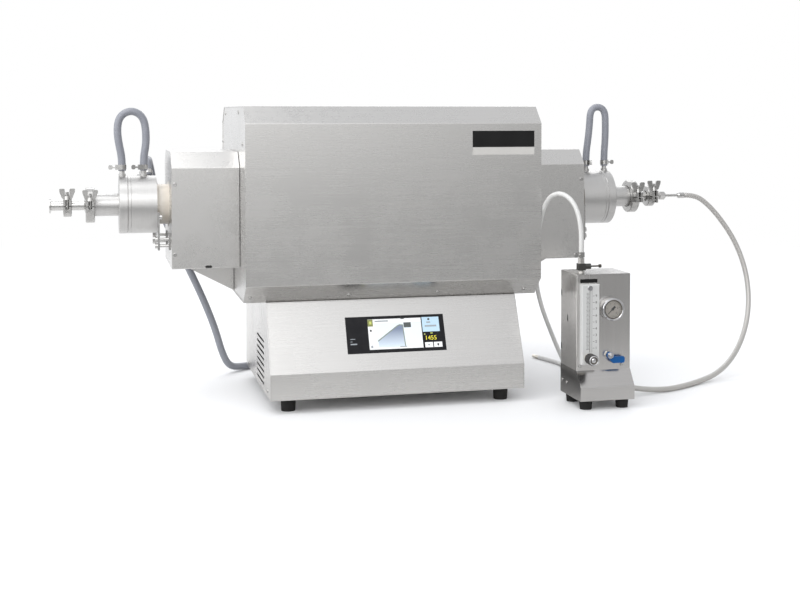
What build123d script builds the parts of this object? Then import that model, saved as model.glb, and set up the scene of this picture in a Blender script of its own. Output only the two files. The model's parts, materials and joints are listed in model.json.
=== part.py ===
"""Bench-top tube furnace with water-cooled gas-tight end flanges and its gas supply unit.

Furnace frame: X runs along the work tube, Y points to the back, Z is up, and
the bench is z = 0.  Sizes are millimetres.  Every sub-part is one STEP file.
"""
import math
import os

from build123d import *

# ---------------------------------------------------------------- clearances
TOUCH_GAP = 0.2        # between sheet parts that are screwed together
SLIP_GAP = 0.4         # between a ceramic part and its seat
RUN_GAP = 0.05         # radial, shaft in its bearing
BODY_GAP = 0.3         # between a moving part and what it passes

# ------------------------------------------------------------ furnace casing
SHEET = 1.5
BODY_LENGTH = 586.0
BODY_DEPTH = 430.0
BODY_TOP = 580.0
BODY_BOTTOM = 203.5
TOP_CHAMFER = (35.0, 33.0)
LOW_CHAMFER = (40.0, 35.5)
FOLD_RADIUS = 2.5
END_INSET = 1.0
REAR_MARGIN = 22.0
REAR_SLOT = (42.0, 5.0)
REAR_SLOT_ROWS = 6
REAR_SLOT_COLUMNS = 6
REAR_SLOT_PITCH = (74.0, 16.0)

# ------------------------------------------------------- heating and ceramics
AXIS_Z = 384.5
TUBE_RADIUS = 40.0
TUBE_WALL = 5.0
TUBE_REACH = 199.0     # of the tube beyond the casing's end
TUBE_HALF_LENGTH = BODY_LENGTH / 2 + TUBE_REACH
CHAMBER_RADIUS = 75.0
INSULATION_LENGTH = BODY_LENGTH - 62.0
INSULATION_DEPTH = 300.0
INSULATION_TOP = BODY_TOP - 47.5
INSULATION_BOTTOM = BODY_BOTTOM + 33.0
ROD_RADIUS = 7.0
ROD_CIRCLE = 57.0
ROD_REACH = 97.0
ROD_HALF_LENGTH = BODY_LENGTH / 2 + ROD_REACH
ROD_ANGLES = (45.0, 135.0, 225.0, 315.0)
COLLAR_DEPTH = 88.0
COLLAR_INNER_X = BODY_LENGTH / 2 - COLLAR_DEPTH
TERMINAL_RADIUS = 12.0
TERMINAL_WIDTH = 16.0
STRAP = (14.0, 3.0)
RAIL_WIDTH = 44.0
RAIL_X = INSULATION_LENGTH / 2 - 82.0
THERMOCOUPLE_RADIUS = 4.0
THERMOCOUPLE_HEAD = (46.0, 34.0, 22.0)

# ----------------------------------------------------------------- side boxes
SIDE_LENGTH = 130.0
SIDE_HALF_DEPTH = 114.0
SIDE_DROP = 119.5
SIDE_RISE = 106.5
SIDE_BOTTOM = AXIS_Z - SIDE_DROP
SIDE_TOP = AXIS_Z + SIDE_RISE
SIDE_CHAMFER = 30.0
DUCT_LENGTH = 112.0
DUCT_DEPTH = 100.0
RING_WIDTH = 6.0

# --------------------------------------------------------------- base cabinet
BASE_HALF_WIDTH = BODY_LENGTH / 2 - 42.5
BASE_FRONT_TOP = -178.0
BASE_FRONT = -239.0
BASE_BACK = 150.0
BASE_TOE_TOP = 75.0
BASE_BOTTOM = 26.0
BASE_BACK_CHAMFER = 12.0
VENT_SLOT = (108.0, 4.5)
VENT_ROWS = 8
VENT_PITCH = 11.8
VENT_FIRST_Z = 38.0
VENT_CENTRE_Y = -92.0
FOOT_RADIUS = 15.0
FOOT_X = BASE_HALF_WIDTH - 38.5
FOOT_FRONT_Y = BASE_FRONT + 35.0
FOOT_BACK_Y = BASE_BACK - 32.0
DISPLAY = (196.0, 73.0)
DISPLAY_CENTRE = (-2.0, 138.5)
DISPLAY_LIP = 4.0
DISPLAY_PROUD = 1.2
DISPLAY_CASE_DEPTH = 24.0
GEAR_MARGIN = 60.5     # from the cabinet's sides to the mounting plate
GEAR_PLATE = (190.0, 3.0)
GEAR_GAP = 20.0
TRANSFORMER = (90.0, 80.0, 85.0)
RELAY = (60.0, 90.0, 65.0)
TERMINAL_BLOCK = (50.0, 130.0, 40.0)

# ------------------------------------------------- cooling fan and rear fittings
FAN_SIZE = 119.0
FAN_DEPTH = 25.0
FAN_BORE = 57.0
FAN_HUB = 20.0
FAN_SHAFT = 3.0
FAN_BLADES = 7
FAN_INSET = 130.5
FAN_X = FAN_INSET - BASE_HALF_WIDTH
FAN_Z = 110.0
FAN_MOTOR_DEPTH = 9.0
GRILLE_BARS = 7
SWITCH_SIZE = (28.0, 22.0)
SWITCH_INSET = 130.5
SWITCH_X = BASE_HALF_WIDTH - SWITCH_INSET
SWITCH_Z = 90.0
SWITCH_PIVOT_RADIUS = 1.5
ROCKER_TILT = 8.0
GLAND_INSET = 70.5
GLAND_X = BASE_HALF_WIDTH - GLAND_INSET
GLAND_Z = 60.0
GLAND_BORE = 6.0
GLAND_RADIUS = 11.0

# --------------------------------------------------------------- tube flanges
FLANGE_RADIUS = 57.5
FLANGE_LAP = 45.0      # of a flange over the end of the tube
FLANGE_INNER_X = TUBE_HALF_LENGTH - FLANGE_LAP
FLANGE_SPLIT_X = TUBE_HALF_LENGTH + 5.0
FLANGE_OUTER_X = FLANGE_SPLIT_X + 23.0
FLANGE_GROOVE_X = FLANGE_SPLIT_X + 6.0
SEAM_CHAMFER = 0.5
JACKET_RADII = (47.5, 53.5)
SEAL_X = FLANGE_INNER_X + 21.0
SEAL_WIDTH = 5.0
SEAL_DEPTH = 3.6
STUB_RADIUS = 22.25
STUB_WALL = 2.25
YOKE_THICKNESS = 4.0
YOKE_HALF_WIDTH = 60.0
YOKE_BOTTOM = AXIS_Z - 87.5
YOKE_TOP = AXIS_Z - 12.5
YOKE_ROD_RADIUS = 3.0
YOKE_ROD_Y = 50.0
YOKE_ROD_Z = (AXIS_Z - 66.5, AXIS_Z - 79.5)
YOKE_SCREW_Z = AXIS_Z - 22.5
PAD_THICKNESS = 3.0

# --------------------------------------------------- small flanges and clamps
KF_GAP = 3.9
KF_RIM = 2.5
KF_SLOPE = math.tan(math.radians(15.0))
KF40_X = FLANGE_OUTER_X + 55.0
KF16_X = KF40_X + 43.5
KF40_RADIUS = 27.5
KF16_RADIUS = 15.0
PIPE_RADIUS = 10.0
PIPE_BORE = 8.0
RING_BORE_STEP = 0.5
PORT_END_X = KF16_X + 34.5
CLAMP_GROOVE_GAP = 0.4
CLAMP40 = {"outer": 35.0, "bore": 23.5, "half_width": 9.0, "lug_top": 10.5, "lug_reach": 16.0}
CLAMP16 = {"outer": 22.5, "bore": 11.5, "half_width": 8.0, "lug_top": 13.0, "lug_reach": 12.5}
SPLIT_HALF = 0.8
PIN_RADIUS = 2.0
KNUCKLE_RADIUS = 4.5
BOLT_RADIUS = 3.0
EYE_RADIUS = 5.5
NUT_RADIUS = 6.5
NUT_HEIGHT = 7.0
WING_THICKNESS = 3.6
WING_SPAN = 15.0
WING_RISE = 21.5
WING_WIDTH = 10.5
WING_CORNER = 1.5

# --------------------------------------------------------- hoses and nozzles
WATER_HOSE_RADIUS = 7.5
GAS_HOSE_RADIUS = 5.5
SUPPLY_HOSE_RADIUS = 4.5
NOZZLE_RADIUS = 5.0
NOZZLE_COLLAR = 7.0
NOZZLE_BORE = 3.0
NOZZLE_TOP = AXIS_Z + 67.5
NOZZLE_BODY_X = FLANGE_INNER_X + 24.0
NOZZLE_COVER_X = FLANGE_OUTER_X - 7.0
NOZZLE_REAR_X = FLANGE_INNER_X + 13.0
NOZZLE_REAR_TURN = 35.0    # of the rear nozzle from the upright, round the tube
BAND_WIDTH = 9.0
BAND_THICKNESS = 0.9
BAND_GAP = 0.15
THIN_TUBE_RADIUS = 3.0
NUT_END_X = KF16_X + 38.5
FERRULE_X = (NUT_END_X + 30.0, NUT_END_X + 45.0)
FERRULE_RADIUS = 6.5

# ------------------------------------------------------------ gas supply unit
GAS_X = BODY_LENGTH / 2 + 32.0
GAS_WIDTH = 110.0
GAS_FRONT = -330.0
GAS_DEPTH = 88.0
GAS_TOP = 258.0
GAS_CASE_BOTTOM = 73.0
GAS_TOE = 22.0
GAS_TOE_Z = 44.0
GAS_BOTTOM = 17.5
GAS_FOOT_RADIUS = 13.0
METER = (36.0, 12.0)
METER_Z = (86.0, 240.0)
METER_X = GAS_X + 24.0
FLOAT_RADIUS = 3.0
FLOAT_TRAVEL = 96.0
METER_BORE = 4.5
METER_BORE_Z = (112.0, 228.0)
KNOB_X = GAS_X + 20.0
KNOB_Z = 103.0
KNOB_RADIUS = 10.5
KNOB_LENGTH = 20.0
KNOB_FLUTES = 16
GAUGE_X = GAS_X + 69.0
GAUGE_Z = 191.0
GAUGE_RADIUS = 21.0
GAUGE_PROUD = 14.0
GAUGE_DEPTH = 24.0
DIAL_DEPTH = 5.0
SPINDLE_RADIUS = 1.5
NEEDLE_LENGTH = 13.0
NEEDLE_REST = 135.0
LEVER_X = GAS_X + 65.0
LEVER_Z = 102.0
LEVER_LENGTH = 34.0
LEVER_STEM = 4.0
TOP_VALVE_X = GAS_X + 20.0
TOP_VALVE_Y = GAS_FRONT + 30.0
TOP_VALVE_Z = GAS_TOP + 12.0
SUPPLY_START_Z = TOP_VALVE_Z + 16.0
PLUNGER_RADIUS = 1.6
PLUNGER_TRAVEL = 6.0
GAS_OUTLET_X = GAS_X + 85.0
GAS_OUTLET_Z = 40.0
OUTLET_X = GAS_X + GAS_WIDTH + 5.0
OUTLET_Y = GAS_FRONT + GAS_DEPTH + 11.0
OUTLET_Z = 15.0

SIDES = (("left", -1), ("right", 1))
ALONG = (1, 0, 0)
BACKWARDS = (0, 1, 0)
UPWARDS = (0, 0, 1)


# ------------------------------------------------------------------- helpers
def block(x, y, z):
    """A box from its (low, high) pairs."""
    size = [high - low for low, high in (x, y, z)]
    middle = [(high + low) / 2 for low, high in (x, y, z)]
    return Pos(*middle) * Box(*size)


def rod_x(radius, start, end, y=0.0, z=AXIS_Z):
    """A cylinder along X."""
    return Pos((start + end) / 2, y, z) * Rot(0, 90, 0) * Cylinder(radius, abs(end - start))


def rod_y(radius, start, end, x, z):
    """A cylinder along Y."""
    return Pos(x, (start + end) / 2, z) * Rot(90, 0, 0) * Cylinder(radius, abs(end - start))


def rod_z(radius, start, end, x, y):
    """A cylinder along Z."""
    return Pos(x, y, (start + end) / 2) * Cylinder(radius, abs(end - start))


def prism_x(points, start, end):
    """A prism along X over an outline of (y, z) points."""
    face = Plane.YZ.offset(start) * Polygon(*points, align=None)
    return extrude(face, end - start, dir=ALONG)


def prism_y(points, start, end):
    """A prism along Y over an outline of (x, z) points."""
    face = Plane.XZ.offset(-start) * Polygon(*points, align=None)
    return extrude(face, end - start, dir=BACKWARDS)


def prism_z(points, start, end):
    """A prism along Z over an outline of (x, y) points."""
    face = Plane.XY.offset(start) * Polygon(*points, align=None)
    return extrude(face, end - start, dir=UPWARDS)


def turned_x(points):
    """A solid of revolution about the tube axis from (x, radius) points."""
    profile = Plane.XZ * Polygon(*points, align=None)
    return Pos(0, 0, AXIS_Z) * revolve(profile, Axis.X)


def mirrored(shape, sign):
    """The shape as drawn on the right (sign 1) or its mirror image on the left."""
    return shape if sign > 0 else mirror(shape, Plane.YZ)


def solids(*shapes):
    """One node of separate solids."""
    found = []
    for shape in shapes:
        found.extend(shape.solids())
    return Compound(found)


# ------------------------------------------------------------ furnace casing
def body_outline(inset=0.0):
    """The casing's cross-section in (y, z), moved inwards by inset."""
    half = BODY_DEPTH / 2
    side, rise = TOP_CHAMFER
    low_side, low_rise = LOW_CHAMFER
    points = [
        (-half, BODY_BOTTOM + low_rise),
        (-half, BODY_TOP - rise),
        (-half + side, BODY_TOP),
        (half - side, BODY_TOP),
        (half, BODY_TOP - rise),
        (half, BODY_BOTTOM + low_rise),
        (half - low_side, BODY_BOTTOM),
        (-half + low_side, BODY_BOTTOM),
    ]
    face = Polygon(*points, align=None)
    face = fillet(face.vertices(), FOLD_RADIUS)
    return offset(face, -inset) if inset else face


def body_prism(inset, half_length):
    """The casing's cross-section drawn out along X, centred."""
    face = Plane.YZ.offset(-half_length) * body_outline(inset)
    return extrude(face, 2 * half_length, dir=ALONG)


def outer_casing():
    """Folded sheet round the top, front, underside and back, open at both ends."""
    half = BODY_LENGTH / 2
    shell = body_prism(0.0, half) - body_prism(SHEET, half + 1)
    low, high = rear_window()
    window = block(low, (BODY_DEPTH / 2 - 5, BODY_DEPTH / 2 + 5), high)
    return shell - window


def rear_window():
    """X and Z spans of the opening in the back of the casing."""
    half = BODY_LENGTH / 2 - REAR_MARGIN
    low = BODY_BOTTOM + LOW_CHAMFER[1] + REAR_MARGIN
    high = BODY_TOP - TOP_CHAMFER[1] - REAR_MARGIN
    return (-half, half), (low, high)


def rear_panel():
    """Louvred cover screwed over the opening in the back."""
    (left, right), (low, high) = rear_window()
    lap = REAR_MARGIN / 2
    back = BODY_DEPTH / 2
    plate = block((left - lap, right + lap), (back, back + SHEET), (low - lap, high + lap))
    width, height = REAR_SLOT
    across, up = REAR_SLOT_PITCH
    for row in range(REAR_SLOT_ROWS):
        for column in range(REAR_SLOT_COLUMNS):
            x = (column - (REAR_SLOT_COLUMNS - 1) / 2) * across
            z = high - lap - height - row * up
            slot = block((x - width / 2, x + width / 2), (back - 1, back + SHEET + 1),
                         (z - height / 2, z + height / 2))
            plate -= slot
    return plate


def end_panel():
    """Right-hand end plate of the casing, with the opening for tube and rods."""
    outer = BODY_LENGTH / 2 - END_INSET
    face = Plane.YZ.offset(outer - SHEET) * body_outline(SHEET + TOUCH_GAP)
    plate = extrude(face, SHEET, dir=ALONG)
    return plate - rod_x(CHAMBER_RADIUS + TOUCH_GAP, outer - SHEET - 1, outer + 1)


# ------------------------------------------------------- heating and ceramics
def insulation(sign):
    """Upper (sign 1) or lower half of the fibre block round the chamber."""
    half_x = INSULATION_LENGTH / 2
    half_y = INSULATION_DEPTH / 2
    span = (AXIS_Z, INSULATION_TOP) if sign > 0 else (INSULATION_BOTTOM, AXIS_Z)
    half = block((-half_x, half_x), (-half_y, half_y), span)
    half -= rod_x(CHAMBER_RADIUS, -half_x - 1, half_x + 1)
    if sign > 0:
        half -= rod_z(THERMOCOUPLE_RADIUS + SLIP_GAP, AXIS_Z, INSULATION_TOP + 1, 0, 0)
    return half


def insulation_rails():
    """Two folded channels that carry the lower insulation on the casing floor."""
    floor = BODY_BOTTOM + SHEET
    top = INSULATION_BOTTOM
    depth = INSULATION_DEPTH / 2
    rails = []
    for x in (-RAIL_X, RAIL_X):
        outer = block((x - RAIL_WIDTH / 2, x + RAIL_WIDTH / 2), (-depth, depth), (floor, top))
        inner = block((x - RAIL_WIDTH / 2 + SHEET, x + RAIL_WIDTH / 2 - SHEET), (-depth - 1, depth + 1),
                      (floor - 1, top - SHEET))
        rails.append(outer - inner)
    return solids(*rails)


def rod_place(angle):
    """(y, z) of a heating rod on its circle round the tube."""
    turn = math.radians(angle)
    return ROD_CIRCLE * math.cos(turn), AXIS_Z + ROD_CIRCLE * math.sin(turn)


def heating_rods():
    """Rods parallel to the tube, reaching out into the side boxes."""
    rods = [rod_x(ROD_RADIUS, -ROD_HALF_LENGTH, ROD_HALF_LENGTH, *rod_place(a)) for a in ROD_ANGLES]
    return solids(*rods)


def end_collars():
    """Fibre plugs that close the chamber and carry the tube and the rods."""
    collars = []
    outer_x = BODY_LENGTH / 2 + SHEET
    for _, sign in SIDES:
        plug = rod_x(CHAMBER_RADIUS - TOUCH_GAP, COLLAR_INNER_X, outer_x)
        plug -= rod_x(TUBE_RADIUS + SLIP_GAP, COLLAR_INNER_X - 1, outer_x + 1)
        for angle in ROD_ANGLES:
            plug -= rod_x(ROD_RADIUS + SLIP_GAP, COLLAR_INNER_X - 1, outer_x + 1, *rod_place(angle))
        collars.append(mirrored(plug, sign))
    return solids(*collars)


def rod_terminals():
    """Clamps on the rod ends, joined front and back by flat straps."""
    terminals = []
    width, thick = STRAP
    end = ROD_HALF_LENGTH
    start = end - TERMINAL_WIDTH
    for _, sign in SIDES:
        for side in (-1, 1):
            y = side * ROD_CIRCLE * math.cos(math.radians(ROD_ANGLES[0]))
            reach = ROD_CIRCLE * math.sin(math.radians(ROD_ANGLES[0]))
            face = y + side * (TERMINAL_RADIUS - 1)
            middle = (start + end) / 2
            part = block((middle - width / 2, middle + width / 2), sorted((face, face + side * thick)),
                         (AXIS_Z - reach, AXIS_Z + reach))
            for z in (AXIS_Z - reach, AXIS_Z + reach):
                part += rod_x(TERMINAL_RADIUS, start, end, y, z)
            for z in (AXIS_Z - reach, AXIS_Z + reach):
                part -= rod_x(ROD_RADIUS + RUN_GAP, start - 1, end + 1, y, z)
            terminals.append(mirrored(part, sign))
    return solids(*terminals)


def work_tube():
    """Gas-tight ceramic tube, open at both ends inside its flanges."""
    tube = rod_x(TUBE_RADIUS, -TUBE_HALF_LENGTH, TUBE_HALF_LENGTH)
    return tube - rod_x(TUBE_RADIUS - TUBE_WALL, -TUBE_HALF_LENGTH - 1, TUBE_HALF_LENGTH + 1)


def thermocouple():
    """Ceramic sheath down to the chamber with its connection head on the block."""
    top = INSULATION_TOP
    tip = AXIS_Z + TUBE_RADIUS + 2 * THERMOCOUPLE_RADIUS
    length, depth, height = THERMOCOUPLE_HEAD
    head = block((-length / 2, length / 2), (-depth / 2, depth / 2), (top, top + height))
    return head + rod_z(THERMOCOUPLE_RADIUS, tip, top + 1, 0, 0)


# ----------------------------------------------------------------- side boxes
def side_outline(inset=0.0):
    """Cross-section of a side box in (y, z), moved inwards by inset."""
    points = [
        (-SIDE_HALF_DEPTH, SIDE_BOTTOM),
        (-SIDE_HALF_DEPTH, SIDE_TOP - SIDE_CHAMFER),
        (-SIDE_HALF_DEPTH + SIDE_CHAMFER, SIDE_TOP),
        (SIDE_HALF_DEPTH - SIDE_CHAMFER, SIDE_TOP),
        (SIDE_HALF_DEPTH, SIDE_TOP - SIDE_CHAMFER),
        (SIDE_HALF_DEPTH, SIDE_BOTTOM),
    ]
    face = Polygon(*points, align=None)
    face = fillet(face.vertices(), FOLD_RADIUS)
    return offset(face, -inset) if inset else face


def side_box():
    """Right-hand terminal housing: a folded wrap and an end plate set into it."""
    start = BODY_LENGTH / 2
    end = start + SIDE_LENGTH
    wrap = extrude(Plane.YZ.offset(start) * side_outline(), SIDE_LENGTH, dir=ALONG)
    wrap -= extrude(Plane.YZ.offset(start - 1) * side_outline(SHEET), SIDE_LENGTH + 2, dir=ALONG)
    plate = extrude(Plane.YZ.offset(end - SHEET) * side_outline(SHEET + TOUCH_GAP), SHEET, dir=ALONG)
    plate -= rod_x(TUBE_RADIUS + RING_WIDTH, end - SHEET - 1, end + 1)
    return solids(wrap, plate)


def tube_rings():
    """Soft fibre rings round the tube where it leaves the side boxes."""
    rings = []
    end = BODY_LENGTH / 2 + SIDE_LENGTH
    for _, sign in SIDES:
        ring = rod_x(TUBE_RADIUS + RING_WIDTH - TOUCH_GAP, end - 3 * SHEET, end)
        ring -= rod_x(TUBE_RADIUS + SLIP_GAP, end - 3 * SHEET - 1, end + 1)
        rings.append(mirrored(ring, sign))
    return solids(*rings)


def cable_duct():
    """Tapered cover for the leads from the right side box down to the cabinet."""
    start = BODY_LENGTH / 2
    run = DUCT_LENGTH
    rise = SIDE_BOTTOM - BODY_BOTTOM - FOLD_RADIUS
    top = SIDE_BOTTOM
    outer = [(start, top), (start + run, top), (start, top - rise)]
    slope = math.hypot(run, rise)
    drop = SHEET * slope / run
    inner = [(start - 1, top + 1), (start + run + run / rise - drop * run / rise, top + 1),
             (start - 1, top - rise - rise / run + drop)]
    duct = prism_y(outer, 0, DUCT_DEPTH)
    return duct - prism_y(inner, SHEET, DUCT_DEPTH - SHEET)


# --------------------------------------------------------------- base cabinet
def base_outline():
    """Cross-section of the cabinet in (y, z)."""
    return Polygon(
        (BASE_FRONT_TOP, BODY_BOTTOM),
        (BASE_FRONT, BASE_TOE_TOP),
        (BASE_FRONT, BASE_BOTTOM),
        (BASE_BACK - BASE_BACK_CHAMFER / 3, BASE_BOTTOM),
        (BASE_BACK, BASE_BOTTOM + BASE_BACK_CHAMFER),
        (BASE_BACK, BODY_BOTTOM),
        align=None,
    )


def base_shell(half_width, wall_x):
    """Hollow cabinet form with the given half width and side wall."""
    outer = extrude(Plane.YZ.offset(-half_width) * base_outline(), 2 * half_width, dir=ALONG)
    inner_half = half_width - wall_x
    inner = offset(base_outline(), -SHEET, kind=Kind.INTERSECTION)
    return outer - extrude(Plane.YZ.offset(-inner_half) * inner, 2 * inner_half, dir=ALONG)


def front_zone(gap):
    """The span of the removable front, narrowed all round by gap."""
    half = BASE_HALF_WIDTH - SHEET - gap
    return block((-half, half), (BASE_FRONT - 5, 0), (BASE_BOTTOM + SHEET + gap, BODY_BOTTOM - SHEET - gap))


def base_cabinet():
    """Cabinet shell with side vents and the openings in its back."""
    cabinet = base_shell(BASE_HALF_WIDTH, SHEET) - front_zone(0)
    length, height = VENT_SLOT
    for row in range(VENT_ROWS):
        z = VENT_FIRST_Z + row * VENT_PITCH
        cabinet -= block((-BASE_HALF_WIDTH - 1, BASE_HALF_WIDTH + 1),
                         (VENT_CENTRE_Y - length / 2, VENT_CENTRE_Y + length / 2), (z, z + height))
    back = (BASE_BACK - SHEET - 1, BASE_BACK + 1)
    pitch = 2 * FAN_BORE / GRILLE_BARS
    for bar in range(GRILLE_BARS):
        z = -FAN_BORE + (bar + 0.5) * pitch
        half = math.sqrt(FAN_BORE ** 2 - z ** 2) - 3
        cabinet -= block((FAN_X - half, FAN_X + half), back,
                         (FAN_Z + z - pitch * 0.3, FAN_Z + z + pitch * 0.3))
    width, tall = SWITCH_SIZE
    cabinet -= block((SWITCH_X - width / 2, SWITCH_X + width / 2), back,
                     (SWITCH_Z - tall / 2, SWITCH_Z + tall / 2))
    return cabinet - rod_y(GLAND_RADIUS - 3, *back, GLAND_X, GLAND_Z)


def display_plane():
    """Plane on the sloping front, centred on the display, facing outwards."""
    run = BASE_FRONT_TOP - BASE_FRONT
    rise = BODY_BOTTOM - BASE_TOE_TOP
    x, z = DISPLAY_CENTRE
    y = BASE_FRONT + (z - BASE_TOE_TOP) * run / rise
    return Plane(origin=(x, y, z), x_dir=(1, 0, 0), z_dir=(0, -rise, run))


def control_panel():
    """Folded front sheet: sloping panel and upright toe, with the display opening."""
    panel = base_shell(BASE_HALF_WIDTH, 0) & front_zone(TOUCH_GAP)
    width, height = (size - 2 * DISPLAY_LIP for size in DISPLAY)
    opening = display_plane() * Box(width, height, 20)
    return panel - opening


def touch_display():
    """Touch display: glass bezel lapping the panel and the case behind it."""
    width, height = DISPLAY
    bezel = Pos(0, 0, DISPLAY_PROUD / 2) * Box(width, height, DISPLAY_PROUD)
    bezel = chamfer(bezel.faces().sort_by(Axis.Z)[-1].edges(), DISPLAY_PROUD / 2)
    inner_width = width - 2 * DISPLAY_LIP - 2 * TOUCH_GAP
    inner_height = height - 2 * DISPLAY_LIP - 2 * TOUCH_GAP
    case = Pos(0, 0, -DISPLAY_CASE_DEPTH / 2) * Box(inner_width, inner_height, DISPLAY_CASE_DEPTH)
    return display_plane() * (bezel + case)


def rubber_foot(radius, height, x, y):
    """A tapered rubber foot under the point (x, y)."""
    return Pos(x, y, height / 2) * Rot(180, 0, 0) * Cone(radius, radius - 1.5, height)


def furnace_feet():
    """Four rubber feet under the cabinet."""
    places = [(x, y) for x in (-FOOT_X, FOOT_X) for y in (FOOT_FRONT_Y, FOOT_BACK_Y)]
    return solids(*[rubber_foot(FOOT_RADIUS, BASE_BOTTOM, x, y) for x, y in places])


def switchgear():
    """Mounting plate in the cabinet with transformer, relay block and terminals."""
    plate_depth, plate_height = GEAR_PLATE
    half = BASE_HALF_WIDTH - GEAR_MARGIN
    floor = BASE_BOTTOM + SHEET
    seat = floor + plate_height
    pieces = [block((-half, half), (-plate_depth / 2, plate_depth / 2), (floor, seat))]
    right = half - GEAR_GAP
    for length, depth, height in (TERMINAL_BLOCK, RELAY, TRANSFORMER):
        pieces.append(block((right - length, right), (-depth / 2, depth / 2), (seat, seat + height)))
        right -= length + GEAR_GAP
    return solids(*pieces)


# ------------------------------------------------- cooling fan and rear fittings
def fan_frame():
    """Square fan housing with its motor mount and three struts."""
    back = BASE_BACK - SHEET
    front = back - FAN_DEPTH
    half = FAN_SIZE / 2
    frame = block((FAN_X - half, FAN_X + half), (front, back), (FAN_Z - half, FAN_Z + half))
    frame -= rod_y(FAN_BORE, front - 1, back + 1, FAN_X, FAN_Z)
    motor = rod_y(FAN_HUB, front, front + FAN_MOTOR_DEPTH, FAN_X, FAN_Z)
    for strut in range(3):
        arm = block((0, FAN_BORE + 1), (front, front + 3), (-2.5, 2.5))
        motor += Pos(FAN_X, 0, FAN_Z) * Rot(0, 120 * strut + 30, 0) * arm
    motor -= rod_y(FAN_SHAFT + RUN_GAP, front - 1, back, FAN_X, FAN_Z)
    return frame + motor


def fan_rotor():
    """Hub with pitched blades on a short shaft."""
    back = BASE_BACK - SHEET
    front = back - FAN_DEPTH
    hub_front = front + FAN_MOTOR_DEPTH + BODY_GAP
    hub_back = back - 3
    middle = (hub_front + hub_back) / 2
    blade = Rot(38, 0, 0) * Box(FAN_BORE - 3 - FAN_HUB / 2, 1.6, 17)
    blade = Pos((FAN_BORE - 3 + FAN_HUB / 2) / 2, middle, 0) * blade
    blades = [Rot(0, 360 / FAN_BLADES * n, 0) * blade for n in range(FAN_BLADES)]
    reach = rod_y(FAN_BORE - 2, hub_front, hub_back, 0, 0)
    rotor = reach & Compound(blades)
    rotor = rod_y(FAN_HUB, hub_front, hub_back, 0, 0) + rotor.solids()
    rotor += rod_y(FAN_SHAFT, front + 2, hub_front + 1, 0, 0)
    return Pos(FAN_X, 0, FAN_Z) * rotor


def mains_switch():
    """Frame of the mains switch in the back, with the rocker's two pivots."""
    width, tall = SWITCH_SIZE
    back = BASE_BACK
    outer = block((-width / 2 - 2, width / 2 + 2), (back, back + 2), (-tall / 2 - 2, tall / 2 + 2))
    body = block((-width / 2 + TOUCH_GAP, width / 2 - TOUCH_GAP), (back - 22, back),
                 (-tall / 2 + TOUCH_GAP, tall / 2 - TOUCH_GAP))
    frame = outer + body
    frame -= block((-width / 2 + 3, width / 2 - 3), (back - 10, back + 3), (-tall / 2 + 3, tall / 2 - 3))
    for side in (-1, 1):
        frame += rod_x(SWITCH_PIVOT_RADIUS, side * (width / 2 - 4.5), side * (width / 2 - 2), back - 1, 0)
    return Pos(SWITCH_X, 0, SWITCH_Z) * frame


def mains_rocker():
    """Two-winged rocker, resting pressed on one side."""
    width, tall = SWITCH_SIZE
    half_x = width / 2 - 3 - BODY_GAP
    half_z = tall / 2 - 3 - 2 * BODY_GAP
    back = BASE_BACK
    outline = [(-half_z, 2.0), (-half_z, -2.0), (0, -4.0), (half_z, -2.0), (half_z, 2.0), (0, 0.8)]
    points = [(y, z) for z, y in outline]
    rocker = prism_x([(y + 1.0, z) for y, z in points], -half_x, half_x)
    rocker += rod_x(SWITCH_PIVOT_RADIUS + 1.2, -half_x, half_x, 0, 0)
    rocker -= rod_x(SWITCH_PIVOT_RADIUS + RUN_GAP, -half_x - 1, half_x + 1, 0, 0)
    turned = Rot(ROCKER_TILT, 0, 0) * rocker
    return Pos(SWITCH_X, back - 1, SWITCH_Z) * turned


def cable_gland():
    """Hexagonal gland with domed nut for the mains lead, and its inner lock nut."""
    back = BASE_BACK
    nut = Plane.XZ.offset(-back) * RegularPolygon(GLAND_RADIUS, 6)
    gland = extrude(nut, 9, dir=BACKWARDS)
    gland += rod_y(GLAND_RADIUS - 2, back + 9, back + 17, 0, 0)
    gland += rod_y(GLAND_RADIUS - 3 - TOUCH_GAP, back - 10, back, 0, 0)
    lock = Plane.XZ.offset(-(back - SHEET - 5)) * RegularPolygon(GLAND_RADIUS, 6)
    gland += extrude(lock, 5, dir=BACKWARDS)
    gland -= rod_y(GLAND_BORE, back - 11, back + 18, 0, 0)
    return Pos(GLAND_X, 0, GLAND_Z) * gland


# --------------------------------------------------------------- tube flanges
def kf_profile(centre, radius, pipe, bore, side):
    """(x, radius) points of a small flange on one side of a joint's centre."""
    face = centre + side * KF_GAP / 2
    rim = face + side * KF_RIM
    root = rim + side * (radius - pipe) * KF_SLOPE
    return [(face, bore), (face, radius), (rim, radius), (root, pipe)]


def turned_back(shape):
    """The shape turned backwards round the tube's axis to the rear nozzle's place."""
    return Pos(0, 0, AXIS_Z) * Rot(-NOZZLE_REAR_TURN, 0, 0) * Pos(0, 0, -AXIS_Z) * shape


def nozzle(x):
    """Upright hose nozzle standing on the flange's rim."""
    foot = AXIS_Z + FLANGE_RADIUS
    pipe = rod_z(NOZZLE_RADIUS, foot - 3, NOZZLE_TOP, x, 0)
    return pipe + rod_z(NOZZLE_COLLAR, foot - 1.5, foot + 4, x, 0)


def nozzle_bore(x):
    """Bore of a hose nozzle, from its mouth into the water jacket."""
    return rod_z(NOZZLE_BORE, AXIS_Z + JACKET_RADII[0] + 1, NOZZLE_TOP + 1, x, 0)


def jacket(start, end):
    """Ring-shaped water space inside a flange."""
    inner, outer = JACKET_RADII
    return turned_x([(start, inner), (start, outer), (end, outer), (end, inner)])


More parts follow.
